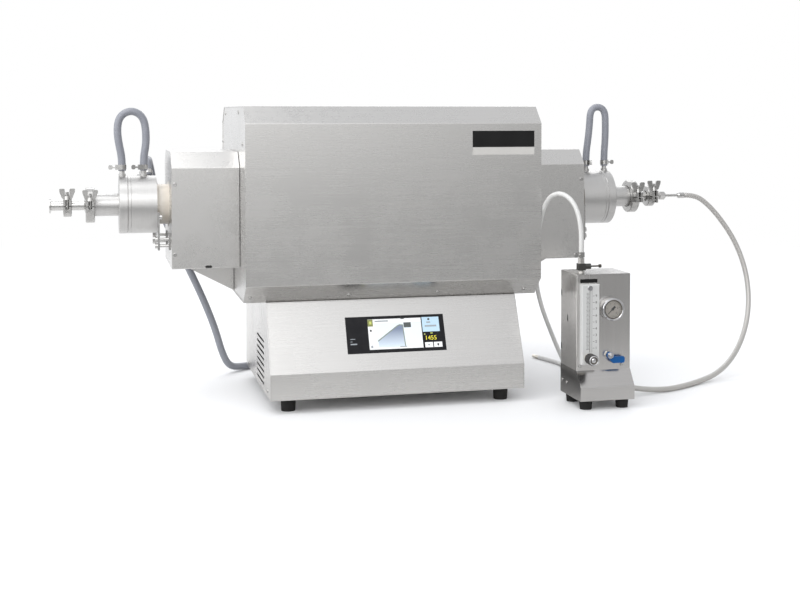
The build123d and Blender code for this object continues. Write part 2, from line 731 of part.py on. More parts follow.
def flange_body():
    """Water-cooled ring sealed on the right-hand end of the tube."""
    bore = TUBE_RADIUS + SLIP_GAP
    lip = TUBE_RADIUS - TUBE_WALL
    stop = TUBE_HALF_LENGTH + BODY_GAP
    body = turned_x([
        (FLANGE_INNER_X, bore), (FLANGE_INNER_X, FLANGE_RADIUS),
        (FLANGE_SPLIT_X - SEAM_CHAMFER, FLANGE_RADIUS),
        (FLANGE_SPLIT_X, FLANGE_RADIUS - SEAM_CHAMFER),
        (FLANGE_SPLIT_X, lip), (stop, lip), (stop, bore),
        (SEAL_X + SEAL_WIDTH, bore), (SEAL_X + SEAL_WIDTH, bore + SEAL_DEPTH),
        (SEAL_X, bore + SEAL_DEPTH), (SEAL_X, bore),
    ])
    body += nozzle(NOZZLE_BODY_X)
    body += turned_back(nozzle(NOZZLE_REAR_X))
    body -= jacket(FLANGE_INNER_X + 4, FLANGE_SPLIT_X - 4)
    body -= nozzle_bore(NOZZLE_BODY_X)
    return body - turned_back(nozzle_bore(NOZZLE_REAR_X))


def flange_cover():
    """Water-cooled cover with its stub pipe and small flange."""
    bore = STUB_RADIUS - STUB_WALL
    rim = kf_profile(KF40_X, KF40_RADIUS, STUB_RADIUS, bore, -1)
    cover = turned_x([
        (FLANGE_SPLIT_X, bore), (FLANGE_SPLIT_X, FLANGE_RADIUS - SEAM_CHAMFER),
        (FLANGE_SPLIT_X + SEAM_CHAMFER, FLANGE_RADIUS),
        (FLANGE_GROOVE_X - 1, FLANGE_RADIUS), (FLANGE_GROOVE_X, FLANGE_RADIUS - 1),
        (FLANGE_GROOVE_X + 1, FLANGE_RADIUS), (FLANGE_OUTER_X - 1, FLANGE_RADIUS),
        (FLANGE_OUTER_X, FLANGE_RADIUS - 1), (FLANGE_OUTER_X, STUB_RADIUS),
        rim[3], rim[2], rim[1], rim[0],
    ])
    cover += nozzle(NOZZLE_COVER_X)
    cover -= jacket(FLANGE_GROOVE_X + 2, FLANGE_OUTER_X - 3)
    return cover - nozzle_bore(NOZZLE_COVER_X)


def tube_seals():
    """Square-section seal rings between tube and flange body."""
    bore = TUBE_RADIUS + TOUCH_GAP
    outer = TUBE_RADIUS + SLIP_GAP + SEAL_DEPTH - TOUCH_GAP
    start = SEAL_X + TOUCH_GAP
    end = SEAL_X + SEAL_WIDTH - TOUCH_GAP
    ring = turned_x([(start, bore), (start, outer), (end, outer), (end, bore)])
    return solids(*[mirrored(ring, sign) for _, sign in SIDES])


def centring_rings():
    """Centring rings with their seals, between each pair of small flanges."""
    rings = []
    for centre, bore, outer in ((KF40_X, STUB_RADIUS - STUB_WALL, KF40_RADIUS - 2),
                                (KF16_X, PIPE_BORE, KF16_RADIUS - 2)):
        start = centre - KF_GAP / 2
        end = centre + KF_GAP / 2
        inner = bore + RING_BORE_STEP
        ring = turned_x([(start, inner), (start, outer), (end, outer), (end, inner)])
        rings.extend(mirrored(ring, sign) for _, sign in SIDES)
    return solids(*rings)


def reducer():
    """Right-hand reducing pipe between the large and the small joint."""
    large = kf_profile(KF40_X, KF40_RADIUS, STUB_RADIUS, PIPE_BORE, 1)
    small = kf_profile(KF16_X, KF16_RADIUS, PIPE_RADIUS, PIPE_BORE, -1)
    shoulder = large[3][0] + 2
    return turned_x([large[0], large[1], large[2], large[3], (shoulder, STUB_RADIUS - 1),
                     (shoulder + 4, PIPE_RADIUS), small[3], small[2], small[1], small[0]])


def outlet_nipple():
    """Left-hand outlet pipe that ends in an open small flange."""
    start = kf_profile(KF16_X, KF16_RADIUS, PIPE_RADIUS, PIPE_BORE, 1)
    rim = PORT_END_X - KF_RIM
    root = rim - (KF16_RADIUS - PIPE_RADIUS) * KF_SLOPE
    pipe = turned_x([start[0], start[1], start[2], start[3], (root, PIPE_RADIUS), (rim, KF16_RADIUS),
                     (PORT_END_X, KF16_RADIUS), (PORT_END_X, PIPE_BORE)])
    return mirrored(pipe, -1)


def inlet_adapter():
    """Right-hand gas inlet: small flange, short pipe and hexagonal union nut."""
    start = kf_profile(KF16_X, KF16_RADIUS, PIPE_RADIUS, THIN_TUBE_RADIUS, 1)
    shoulder = start[3][0] + 6
    neck = shoulder + 9
    pipe = turned_x([start[0], start[1], start[2], start[3], (shoulder, PIPE_RADIUS),
                     (neck, PIPE_RADIUS - 3), (NUT_END_X - 14, PIPE_RADIUS - 3),
                     (NUT_END_X - 14, THIN_TUBE_RADIUS)])
    nut = extrude(Plane.YZ.offset(NUT_END_X - 14) * RegularPolygon(10, 6), 11, dir=ALONG)
    nut = Pos(0, 0, AXIS_Z) * nut
    nut = nut & turned_x([(NUT_END_X - 14, 0), (NUT_END_X - 14, 9.4), (NUT_END_X - 13, 10),
                          (NUT_END_X - 4, 10), (NUT_END_X - 3, 9.4), (NUT_END_X - 3, 0)])
    nut += rod_x(6.5, NUT_END_X - 3, NUT_END_X)
    nut -= rod_x(THIN_TUBE_RADIUS, NUT_END_X - 15, NUT_END_X + 1)
    return pipe + nut


def flange_support():
    """Yoke under the right-hand flange, its rods and the pads on the side box."""
    outer = FLANGE_INNER_X
    inner = outer - YOKE_THICKNESS
    box_end = BODY_LENGTH / 2 + SIDE_LENGTH
    width = YOKE_HALF_WIDTH
    yoke = block((inner, outer), (-width, width), (YOKE_BOTTOM, YOKE_TOP))
    cut = TUBE_RADIUS + 3
    yoke -= rod_x(cut, inner - 1, outer + 1)
    yoke -= block((inner - 1, outer + 1), (-cut, cut), (AXIS_Z - cut / 2, YOKE_TOP + 1))
    pieces = [yoke]
    for side in (-1, 1):
        y = side * YOKE_ROD_Y
        pad = block((box_end, box_end + PAD_THICKNESS), (y - 9, y + 9), (YOKE_BOTTOM, YOKE_ROD_Z[0] + 9))
        rods = [rod_x(YOKE_ROD_RADIUS, box_end + PAD_THICKNESS, inner, y, z) for z in YOKE_ROD_Z]
        heads = [rod_x(YOKE_ROD_RADIUS + 2, outer, outer + 5, y, z) for z in YOKE_ROD_Z]
        screw = rod_x(YOKE_ROD_RADIUS + 1.5, inner - 5, inner, y, YOKE_SCREW_Z)
        pieces += [pad, *rods, screw]
        clear = FLANGE_RADIUS + BODY_GAP
        pieces += [head - rod_x(clear, outer - 1, outer + 6) for head in heads]
    return solids(*pieces)


# ----------------------------------------------------------- clamps and wing nuts
def clamp(centre, sizes, flange_radius):
    """Hinged two-part clamp: half rings, hinge pin, bolt pin and swing bolt."""
    outer = sizes["outer"]
    half = sizes["half_width"]
    groove = flange_radius + CLAMP_GROOVE_GAP
    mouth = KF_GAP / 2 + KF_RIM + CLAMP_GROOVE_GAP
    bore = sizes["bore"]
    depth = mouth + (groove - bore) * KF_SLOPE
    ring = turned_x([
        (centre - depth, bore), (centre - mouth, groove), (centre + mouth, groove),
        (centre + depth, bore), (centre + half, bore), (centre + half, outer - 1.5),
        (centre + half - 1.5, outer), (centre - half + 1.5, outer), (centre - half, outer - 1.5),
        (centre - half, bore),
    ])
    pin_y = outer + PIN_RADIUS
    lug_reach = sizes["lug_reach"]
    bolt_y = -(outer + lug_reach / 2)
    knuckle = half / 3
    lug = (-(outer + lug_reach), -(outer - 3))
    span = (centre - half + 1, centre + half - 1)
    halves = []
    for sign in (1, -1):
        part = ring & block((centre - half - 1, centre + half + 1), (-60, 60),
                            sorted((AXIS_Z + sign * SPLIT_HALF, AXIS_Z + sign * 60)))
        reach = sizes["lug_top"]
        part += block(span, lug, sorted((AXIS_Z + sign * SPLIT_HALF, AXIS_Z + sign * reach)))
        barrels = [(-half + 1, -knuckle - 0.15), (knuckle + 0.15, half - 1)]
        if sign < 0:
            barrels = [(-knuckle + 0.15, knuckle - 0.15)]
        for low, high in ((-half, -knuckle), (-knuckle, knuckle), (knuckle, half)):
            mine = any(low - 0.01 <= a and b <= high + 0.01 for a, b in barrels)
            if not mine:
                part -= rod_x(KNUCKLE_RADIUS + 0.2, centre + low, centre + high, pin_y, AXIS_Z)
        for low, high in barrels:
            part += rod_x(KNUCKLE_RADIUS, centre + low, centre + high, pin_y, AXIS_Z)
        part -= rod_x(PIN_RADIUS + RUN_GAP, centre - half - 1, centre + half + 1, pin_y, AXIS_Z)
        slot_y = (lug[0] - 1, bolt_y + BOLT_RADIUS + BODY_GAP)
        slot_x = BOLT_RADIUS + BODY_GAP
        part -= block((centre - slot_x, centre + slot_x), slot_y,
                      sorted((AXIS_Z, AXIS_Z + sign * (reach + 1))))
        halves.append(part)
    eye_z = AXIS_Z - sizes["lug_top"] / 2 - SPLIT_HALF
    upper, lower = halves
    lower -= rod_x(PIN_RADIUS + RUN_GAP, span[0] - 1, span[1] + 1, bolt_y, eye_z)
    nut_seat = AXIS_Z + sizes["lug_top"] + BODY_GAP
    tip = nut_seat + NUT_HEIGHT + 8
    bolt = rod_z(BOLT_RADIUS, eye_z, tip, centre, bolt_y)
    bolt -= rod_x(PIN_RADIUS + RUN_GAP, span[0], span[1], bolt_y, eye_z)
    hinge_pin = rod_x(PIN_RADIUS, centre - half + 1, centre + half - 1, pin_y, AXIS_Z)
    bolt_pin = rod_x(PIN_RADIUS, span[0], span[1], bolt_y, eye_z)
    return solids(upper, lower, hinge_pin, bolt_pin, bolt)


def wing_nut(centre, sizes):
    """Wing nut on the clamp's swing bolt."""
    bolt_y = -(sizes["outer"] + sizes["lug_reach"] / 2)
    seat = AXIS_Z + sizes["lug_top"] + BODY_GAP
    top = seat + NUT_HEIGHT
    nut = Pos(centre, bolt_y, (seat + top) / 2) * Cone(NUT_RADIUS, NUT_RADIUS - 1.5, NUT_HEIGHT)
    for side in (-1, 1):
        inner = WING_SPAN - WING_WIDTH
        outline = [(2.0, 4.0), (inner - 0.3, WING_RISE / 2 + 1), (inner, WING_RISE - WING_CORNER),
                   (inner + WING_CORNER, WING_RISE), (WING_SPAN - WING_CORNER, WING_RISE),
                   (WING_SPAN, WING_RISE - WING_CORNER), (WING_SPAN - 0.5, WING_RISE - 6.5),
                   (NUT_RADIUS + 3.5, 3.0), (NUT_RADIUS - 0.5, 0.8)]
        points = [(centre + side * x, seat + z) for x, z in outline]
        if side < 0:
            points.reverse()
        nut += prism_y(points, bolt_y - WING_THICKNESS / 2, bolt_y + WING_THICKNESS / 2)
    return nut - rod_z(BOLT_RADIUS + RUN_GAP, seat - 1, seat + WING_RISE + 2, centre, bolt_y)


# ---------------------------------------------------------------- hose clamps
def hose_band(radius, x, y, z, heading):
    """Band clamp round an upright hose, its thumb screw pointing to heading."""
    inner = radius + BAND_GAP
    outer = inner + BAND_THICKNESS
    low = z
    high = z + BAND_WIDTH
    band = rod_z(outer, low, high, 0, 0) - rod_z(inner, low - 1, high + 1, 0, 0)
    middle = (low + high) / 2
    reach = outer + 5
    house = block((0, reach), (outer - 1, outer + 4.5), (low - 0.5, high + 0.5))
    house -= rod_z(inner, low - 1, high + 1, 0, 0)
    screw = rod_x(2.0, reach, reach + 5, outer + 2, middle)
    wing = block((reach + 5, reach + 13), (outer + 1, outer + 3), (middle - 4.5, middle + 4.5))
    wing = fillet(wing.edges().filter_by(Axis.Y), 3)
    return Pos(x, y, 0) * Rot(0, 0, heading) * (band + house + screw + wing)


def hose_clamps():
    """Band clamps on the six water hose ends and on the gas supply hose."""
    low = NOZZLE_TOP + 3
    bands = []
    for _, sign in SIDES:
        facing = 180 if sign < 0 else 0
        bands.append(hose_band(WATER_HOSE_RADIUS, sign * NOZZLE_COVER_X, 0, low, facing))
        bands.append(hose_band(WATER_HOSE_RADIUS, sign * NOZZLE_BODY_X, 0, low, 250 - facing / 3))
        rear = hose_band(WATER_HOSE_RADIUS, sign * NOZZLE_REAR_X, 0, low, 60 + facing / 3)
        bands.append(turned_back(rear))
    bands.append(hose_band(SUPPLY_HOSE_RADIUS, TOP_VALVE_X, TOP_VALVE_Y, SUPPLY_START_Z + 3, 200))
    return solids(*bands)


# ------------------------------------------------------------ gas supply unit
def gas_middle():
    """X of the middle of the gas unit."""
    return GAS_X + GAS_WIDTH / 2


def gas_unit_cover():
    """Folded cover of the gas unit: sides, top and back."""
    back = GAS_FRONT + GAS_DEPTH
    outer = block((GAS_X, GAS_X + GAS_WIDTH), (GAS_FRONT, back), (GAS_CASE_BOTTOM, GAS_TOP))
    folds = outer.edges().filter_by(Axis.Z) + outer.faces().sort_by(Axis.Z)[-1].edges().filter_by(Axis.Y)
    outer = fillet(folds, 2)
    inner = block((GAS_X + SHEET, GAS_X + GAS_WIDTH - SHEET), (GAS_FRONT - 1, back - SHEET),
                  (GAS_CASE_BOTTOM - 1, GAS_TOP - SHEET))
    cover = outer - inner
    return cover - rod_z(4 + TOUCH_GAP, GAS_TOP - 5, GAS_TOP + 1, TOP_VALVE_X, TOP_VALVE_Y)


def gas_unit_front():
    """Front plate of the gas unit with the openings for its instruments."""
    gap = SHEET + TOUCH_GAP
    plate = block((GAS_X + gap, GAS_X + GAS_WIDTH - gap), (GAS_FRONT, GAS_FRONT + SHEET),
                  (GAS_CASE_BOTTOM, GAS_TOP - gap))
    through = (GAS_FRONT - 1, GAS_FRONT + SHEET + 1)
    plate -= rod_y(GAUGE_RADIUS - 3 + TOUCH_GAP, *through, GAUGE_X, GAUGE_Z)
    plate -= rod_y(LEVER_STEM + 3, *through, LEVER_X, LEVER_Z)
    for z in METER_BORE_Z:
        plate -= rod_y(METER_BORE, *through, METER_X - 2, z)
    return plate


def gas_unit_base():
    """Base of the gas unit with its sloping toe, open at the top."""
    back = GAS_FRONT + GAS_DEPTH
    outline = [(GAS_FRONT, GAS_CASE_BOTTOM), (GAS_FRONT - GAS_TOE, GAS_TOE_Z),
               (GAS_FRONT - GAS_TOE, GAS_BOTTOM), (back, GAS_BOTTOM), (back, GAS_CASE_BOTTOM)]
    face = Polygon(*outline, align=None)
    outer = extrude(Plane.YZ.offset(GAS_X) * face, GAS_WIDTH, dir=ALONG)
    outer = fillet(outer.edges().filter_by(Axis.X).sort_by(Axis.Z)[0:2], 2)
    hollow = offset(face, -SHEET, kind=Kind.INTERSECTION)
    inner = extrude(Plane.YZ.offset(GAS_X + SHEET) * hollow, GAS_WIDTH - 2 * SHEET, dir=ALONG)
    base = outer - inner
    base -= block((GAS_X + SHEET, GAS_X + GAS_WIDTH - SHEET), (GAS_FRONT + 8, back - 8),
                  (GAS_CASE_BOTTOM - SHEET - 1, GAS_CASE_BOTTOM + 1))
    return base - rod_y(4 + TOUCH_GAP, back - 5, back + 1, GAS_OUTLET_X, GAS_OUTLET_Z)


def gas_feet():
    """Four rubber feet under the gas unit."""
    low, high = GAS_FRONT - GAS_TOE + 20, GAS_FRONT + GAS_DEPTH - 18
    places = [(gas_middle() + side * (GAS_WIDTH / 2 - 18), y) for side in (-1, 1) for y in (low, high)]
    return solids(*[rubber_foot(GAS_FOOT_RADIUS, GAS_BOTTOM, x, y) for x, y in places])


def flow_meter():
    """Clear block of the flow meter: tapered bore, ports to the back, valve boss."""
    width, depth = METER
    low, high = METER_Z
    front = GAS_FRONT - depth
    body = block((METER_X - width / 2, METER_X + width / 2), (front, GAS_FRONT), (low, high))
    body = chamfer(body.faces().sort_by(Axis.Y)[0].edges(), 1.5)
    bottom, top = METER_BORE_Z
    x, y = METER_X - 2, GAS_FRONT - depth / 2
    taper = Cone(FLOAT_RADIUS + SLIP_GAP, METER_BORE, top - bottom + 8)
    body -= Pos(x, y, (bottom + top) / 2) * taper
    for z in METER_BORE_Z:
        body -= rod_y(FLOAT_RADIUS - 1, y, GAS_FRONT + 1, x, z)
    body += rod_y(8, front - 5, front, KNOB_X, KNOB_Z - 4)
    return body - rod_y(2.5 + RUN_GAP, front - 6, front + 8, KNOB_X, KNOB_Z - 4)


def flow_float():
    """Float of the flow meter, resting at the bottom of its bore."""
    x, y = METER_X - 2, GAS_FRONT - METER[1] / 2
    low = METER_BORE_Z[0] - 3.5
    top = Pos(x, y, low + 5.5) * Cylinder(FLOAT_RADIUS, 3)
    return top + Pos(x, y, low + 2) * Cone(1.0, FLOAT_RADIUS, 4)


def flow_knob():
    """Fluted knob of the needle valve on its spindle."""
    front = GAS_FRONT - METER[1]
    near = front - 5 - BODY_GAP
    far = near - KNOB_LENGTH
    points = []
    for n in range(2 * KNOB_FLUTES):
        turn = math.pi * n / KNOB_FLUTES
        radius = KNOB_RADIUS - 0.7 * (n % 2)
        points.append((radius * math.cos(turn), radius * math.sin(turn)))
    grip = extrude(Plane.XZ.offset(-far) * Polygon(*points, align=None), KNOB_LENGTH, dir=BACKWARDS)
    grip += rod_y(KNOB_RADIUS - 1.5, far - 1, far, 0, 0)
    grip -= rod_y(KNOB_RADIUS - 4, far - 2, far + 1.5, 0, 0)
    grip += rod_y(KNOB_RADIUS - 5.5, far - 0.5, far + 2, 0, 0)
    grip += rod_y(2.5, near - 1, front + 7, 0, 0)
    return Pos(KNOB_X, 0, KNOB_Z - 4) * grip


def gauge_case():
    """Pressure gauge case with its rim, dial recess and rear connection."""
    face = GAS_FRONT - GAUGE_PROUD
    case = rod_y(GAUGE_RADIUS, face, GAS_FRONT, 0, 0)
    case = chamfer(case.edges().sort_by(Axis.Y)[0], 1.5)
    case += rod_y(GAUGE_RADIUS - 3, GAS_FRONT, face + GAUGE_DEPTH, 0, 0)
    case += rod_y(6, face + GAUGE_DEPTH, face + GAUGE_DEPTH + 14, 0, 0)
    case -= rod_y(GAUGE_RADIUS - 3, face - 1, face + DIAL_DEPTH, 0, 0)
    case -= rod_y(SPINDLE_RADIUS + RUN_GAP, face, face + DIAL_DEPTH + 6, 0, 0)
    return Pos(GAUGE_X, 0, GAUGE_Z) * case


def gauge_glass():
    """Window of the gauge, set inside its rim."""
    face = GAS_FRONT - GAUGE_PROUD
    return rod_y(GAUGE_RADIUS - 3 - TOUCH_GAP, face + 0.3, face + 1.5, GAUGE_X, GAUGE_Z)


def gauge_needle():
    """Pointer on its spindle, at rest on zero."""
    dial = GAS_FRONT - GAUGE_PROUD + DIAL_DEPTH
    outline = [(-5.5, -1.3), (0, -1.0), (NEEDLE_LENGTH, -0.2), (NEEDLE_LENGTH, 0.2), (0, 1.0), (-5.5, 1.3)]
    pointer = prism_y(outline, dial - 2.0, dial - 1.2)
    pointer += rod_y(2.4, dial - 2.6, dial - 1.2, 0, 0)
    pointer += rod_y(SPINDLE_RADIUS, dial - 1.3, dial + 5, 0, 0)
    return Pos(GAUGE_X, 0, GAUGE_Z) * Rot(0, NEEDLE_REST, 0) * pointer


def ball_valve():
    """Shut-off valve body behind the front plate, with its panel nut."""
    rear = GAS_FRONT + SHEET
    body = block((-11, 11), (rear, rear + 24), (-11, 11))
    body += rod_z(7, -20, 20, 0, rear + 13)
    body += rod_y(LEVER_STEM + 3 - TOUCH_GAP, GAS_FRONT, rear + 1, 0, 0)
    nut = extrude(Plane.XZ.offset(4 - GAS_FRONT) * RegularPolygon(LEVER_STEM + 4, 6), 4, dir=BACKWARDS)
    body += nut
    body -= rod_y(LEVER_STEM + RUN_GAP, GAS_FRONT - 5, rear + 16, 0, 0)
    return Pos(LEVER_X, 0, LEVER_Z) * body


def valve_handle():
    """Lever of the shut-off valve on its stem."""
    near = GAS_FRONT - 4 - BODY_GAP
    outline = [(-6, -4.5), (2, -6), (10, -5.5), (LEVER_LENGTH - 2, -6.5), (LEVER_LENGTH, -3),
               (LEVER_LENGTH, 3), (LEVER_LENGTH - 2, 6), (10, 5), (2, 6), (-6, 4.5)]
    lever = prism_y(outline, near - 7, near)
    lever = fillet(lever.edges().filter_by(Axis.Y), 1.5)
    lever += rod_y(LEVER_STEM, near - 1, GAS_FRONT + SHEET + 14, 0, 0)
    return Pos(LEVER_X, 0, LEVER_Z) * lever


def top_valve():
    """Relief valve on top of the gas unit: stem, block, side barrel and hose nut."""
    x, y, z = TOP_VALVE_X, TOP_VALVE_Y, TOP_VALVE_Z
    body = rod_z(4, GAS_TOP - SHEET - 8, z - 6, x, y)
    body += rod_z(6.5, GAS_TOP, GAS_TOP + 3, x, y)
    body += block((x - 7, x + 7), (y - 7, y + 7), (z - 7, z + 6))
    body += rod_x(5.5, x + 6, x + 19, y, z)
    nut = extrude(Plane.XY.offset(z + 6) * RegularPolygon(7, 6), SUPPLY_START_Z - z - 6, dir=UPWARDS)
    body += Pos(x, y, 0) * nut
    return body - rod_x(PLUNGER_RADIUS + RUN_GAP, x + 1, x + 20, y, z)


def valve_plunger():
    """Sprung plunger of the relief valve, with its push button."""
    x, y, z = TOP_VALVE_X, TOP_VALVE_Y, TOP_VALVE_Z
    rod = rod_x(PLUNGER_RADIUS, x + 1 + PLUNGER_TRAVEL + 1, x + 38, y, z)
    return rod + rod_x(3.5, x + 37, x + 41, y, z)


def gas_outlet():
    """Elbow on the back of the gas unit where the gas hose is screwed on."""
    back = GAS_FRONT + GAS_DEPTH
    x, z = GAS_OUTLET_X, GAS_OUTLET_Z
    elbow = rod_y(4, back - 8, back, x, z) + rod_y(8, back, back + 4, x, z)
    elbow += rod_y(5, back + 3, OUTLET_Y, x, z)
    drop_y = OUTLET_Y
    elbow += block((x - 6, x + 6), (drop_y - 6, drop_y + 6), (OUTLET_Z - 6, z + 6))
    elbow += rod_x(5, x + 5, OUTLET_X - 6, drop_y, OUTLET_Z)
    nut = extrude(Plane.YZ.offset(OUTLET_X - 8) * RegularPolygon(7.5, 6), 8, dir=ALONG)
    return elbow + Pos(0, drop_y, OUTLET_Z) * nut


# ---------------------------------------------------------------------- hoses
LOOP_LEFT = [
    (-513, 0, 452), (-513, 0, 478), (-519, 0, 506), (-522, 0, 531), (-519.5, 1, 553), (-510, 1, 566),
    (-494.5, 1, 571.5), (-479, 1, 566), (-469.5, 1, 553), (-466, 0, 531), (-466, 0, 505), (-471, 0, 478),
    (-471, 0, 452),
]
LOOP_RIGHT = [
    (471, 0, 452), (471, 0, 478), (475.5, 0, 508), (479, 0, 540), (480.5, 0, 569), (490.5, 1, 579.5),
    (505, 1, 579.5), (515, 0, 569), (516, 0, 540), (515.5, 0, 508), (513, 0, 478), (513, 0, 452),
]
WATER_HOSE = [
    (-460, 38.7, 439.8), (-460, 53.6, 461.1), (-459.5, 66, 470), (-458, 83.5, 471.5),
    (-455.5, 99, 463.5), (-452, 109, 449), (-447, 116.5, 423), (-438, 123.5, 387), (-423, 130, 342),
    (-398, 133, 288), (-370, 134, 230),
    (-342, 136, 168), (-318, 142, 106), (-302, 158, 50), (-284, 184, 14), (-250, 214, 7.5),
    (-200, 240, 7.5), (-135, 262, 7.5), (-62, 271, 7.5), (15, 264, 7.5), (88, 272, 7.5),
    (155, 260, 7.5), (214, 234, 7.5), (260, 204, 8), (290, 176, 19), (304, 154, 62),
    (314, 142, 120), (335, 136, 182), (366, 134, 240), (398, 133, 296), (423, 130, 346),
    (438, 124, 389), (447, 117, 424), (452, 109.5, 449.5), (455.5, 99, 464), (458, 83.5, 472),
    (459.5, 66, 470.3), (460, 53.6, 461.1), (460, 38.7, 439.8),
]
GAS_HOSE = [
    (702, 0, 384.5), (730, 0, 384.5), (760, -2, 364), (792, -6, 328), (823, -12, 280),
    (842, -22, 224), (845, -36, 168), (831, -58, 114), (800, -86, 66), (757, -116, 30),
    (708, -146, 11), (655, -178, 6), (606, -210, 5.5), (557, -233, 5.5), (508, -238, 9),
    (470, -231, 15), (440, -231, 15),
]
SUPPLY_HOSE = [
    (345, -300, 286), (345, -300, 312), (345, -299, 342), (341, -293, 375), (331, -279, 401),
    (316, -259, 411), (304, -235, 403), (299, -210, 377), (298.5, -188, 340), (299, -170, 296),
    (301, -157, 250), (309, -146, 208), (324, -131, 168), (344, -111, 131), (368, -84, 92),
    (395, -50, 52), (423, -8, 18), (442, 38, 5), (446, 84, 4.5), (436, 128, 4.5), (424, 168, 4.5),
]


def fitted(route, start, end):
    """The route with its ends brought to start and end, and its lie on the bench kept."""
    first, last = route[0], route[-1]
    highest = max(first[2], last[2])
    points = []
    for number, point in enumerate(route):
        share = min(max((number - 1) / (len(route) - 3), 0), 1)
        moves = [(a - b) * (1 - share) + (c - d) * share for a, b, c, d in zip(start, first, end, last)]
        x, y, z = point
        points.append((x + moves[0], y + moves[1], z + moves[2] * min(z / highest, 1)))
    return points


def loop_route(route, sign):
    """Route of the short loop between the two upright nozzles of one flange."""
    places = [(sign * NOZZLE_BODY_X, 0, NOZZLE_TOP), (sign * NOZZLE_COVER_X, 0, NOZZLE_TOP)]
    return fitted(route, *sorted(places))


def water_route():
    """Route of the water hose between the rear nozzles of the two flanges."""
    turn = math.radians(NOZZLE_REAR_TURN)
    reach = NOZZLE_TOP - AXIS_Z
    y, z = reach * math.sin(turn), AXIS_Z + reach * math.cos(turn)
    left, right = [(sign * NOZZLE_REAR_X, y, z) for sign in (-1, 1)]
    return fitted(WATER_HOSE, left, right)


def gas_route():
    """Route of the gas hose from the inlet's ferrule to the gas unit's outlet."""
    return fitted(GAS_HOSE, (FERRULE_X[1], 0, AXIS_Z), (OUTLET_X, OUTLET_Y, OUTLET_Z))


def supply_route():
    """Route of the supply hose from the relief valve to its free end on the bench."""
    start = (TOP_VALVE_X, TOP_VALVE_Y, SUPPLY_START_Z)
    x, y, z = SUPPLY_HOSE[-1]
    return fitted(SUPPLY_HOSE, start, (x + TOP_VALVE_X - SUPPLY_HOSE[0][0], y, z))


def cord_tube(points, radius, name):
    """Hose as straight runs joined by tangent arcs, each as large as it can be."""
    places = [Vector(*point) for point in points]
    radii = []
    for before, corner, after in zip(places, places[1:], places[2:]):
        arriving = corner - before
        leaving = after - corner
        turn = math.radians(arriving.get_angle(leaving))
        shorter = min(arriving.length, leaving.length)
        radii.append(0.45 * shorter / math.tan(turn / 2))
    path = FilletPolyline(*places, radius=radii)
    start = Plane(origin=places[0], z_dir=places[1] - places[0])
    tube = sweep(start * Circle(radius), path=path)
    share = tube.volume / (math.pi * radius ** 2 * path.length)
    print(f"{name}: length {path.length:.0f}, tightest arc {min(radii):.0f}, volume share {share:.4f}")
    return tube


def gas_hose_fitting():
    """Thin tube and ferrule that carry the gas hose out of the inlet nut."""
    start, end = FERRULE_X
    tube = rod_x(THIN_TUBE_RADIUS, NUT_END_X, start)
    sleeve = turned_x([(start, 0), (start, FERRULE_RADIUS - 1.5), (start + 3, FERRULE_RADIUS),
                       (end, FERRULE_RADIUS), (end, 0)])
    return tube + sleeve


def supply_coupling():
    """Plug-in coupling on the free end of the gas supply hose."""
    before, end = [Vector(*point) for point in supply_route()[-2:]]
    heading = (end - before).normalized()
    plane = Plane(origin=end, z_dir=heading)
    sleeve = extrude(plane * RegularPolygon(SUPPLY_HOSE_RADIUS, 6), 12)
    tail = extrude(plane.offset(12) * Circle(3.5), 12)
    return sleeve + tail


# --------------------------------------------------------------------- export
def pair(name, maker):
    """Left and right copies of a part drawn on the right, each a node of its own."""
    return {f"{name}_{side}": mirrored(maker(), sign) for side, sign in SIDES}


def both(maker):
    """Left and right copies of a part drawn on the right, in one node."""
    return solids(*[mirrored(maker(), sign) for _, sign in SIDES])


def build_nodes():
    """Every node of the object except the free hoses."""
    nodes = {
        "outer_casing": outer_casing(),
        "rear_panel": rear_panel(),
        "insulation_halves": solids(insulation(1), insulation(-1)),
        "insulation_rails": insulation_rails(),
        "heating_rods": heating_rods(),
        "rod_terminals": rod_terminals(),
        "fibre_collars": solids(end_collars(), tube_rings()),
        "thermocouple": thermocouple(),
        "work_tube": work_tube(),
        "base_cabinet": base_cabinet(),
        "control_panel": control_panel(),
        "touch_display": touch_display(),
        "rubber_feet": solids(furnace_feet(), gas_feet()),
        "switchgear": switchgear(),
        "fan_frame": fan_frame(),
        "fan_rotor": fan_rotor(),
        "mains_switch": mains_switch(),
        "mains_rocker": mains_rocker(),
        "cable_gland": cable_gland(),
        "seal_rings": solids(tube_seals(), centring_rings()),
        "outlet_nipple": outlet_nipple(),
        "inlet_adapter": inlet_adapter(),
        "hose_clamps": hose_clamps(),
        "gas_unit_cover": gas_unit_cover(),
        "gas_unit_front": gas_unit_front(),
        "gas_unit_base": gas_unit_base(),
        "flow_meter": flow_meter(),
        "flow_float": flow_float(),
        "flow_knob": flow_knob(),
        "gauge_case": gauge_case(),
        "gauge_glass": gauge_glass(),
        "gauge_needle": gauge_needle(),
        "ball_valve": ball_valve(),
        "valve_handle": valve_handle(),
        "top_valve": top_valve(),
        "valve_plunger": valve_plunger(),
        "gas_outlet": gas_outlet(),
    }
    for name, maker in (("end_panels", end_panel), ("side_boxes", side_box), ("cable_ducts", cable_duct),
                        ("reducers", reducer), ("flange_supports", flange_support)):
        nodes[name] = both(maker)
    nodes.update(pair("flange_body", flange_body))
    nodes.update(pair("flange_cover", flange_cover))
    for size, centre, sizes, radius in (("large", KF40_X, CLAMP40, KF40_RADIUS),
                                        ("small", KF16_X, CLAMP16, KF16_RADIUS)):
        nodes[f"{size}_clamps"] = both(lambda: clamp(centre, sizes, radius))
        for side, sign in SIDES:
            nodes[f"{size}_wing_nut_{side}"] = mirrored(wing_nut(centre, sizes), sign)
    return nodes


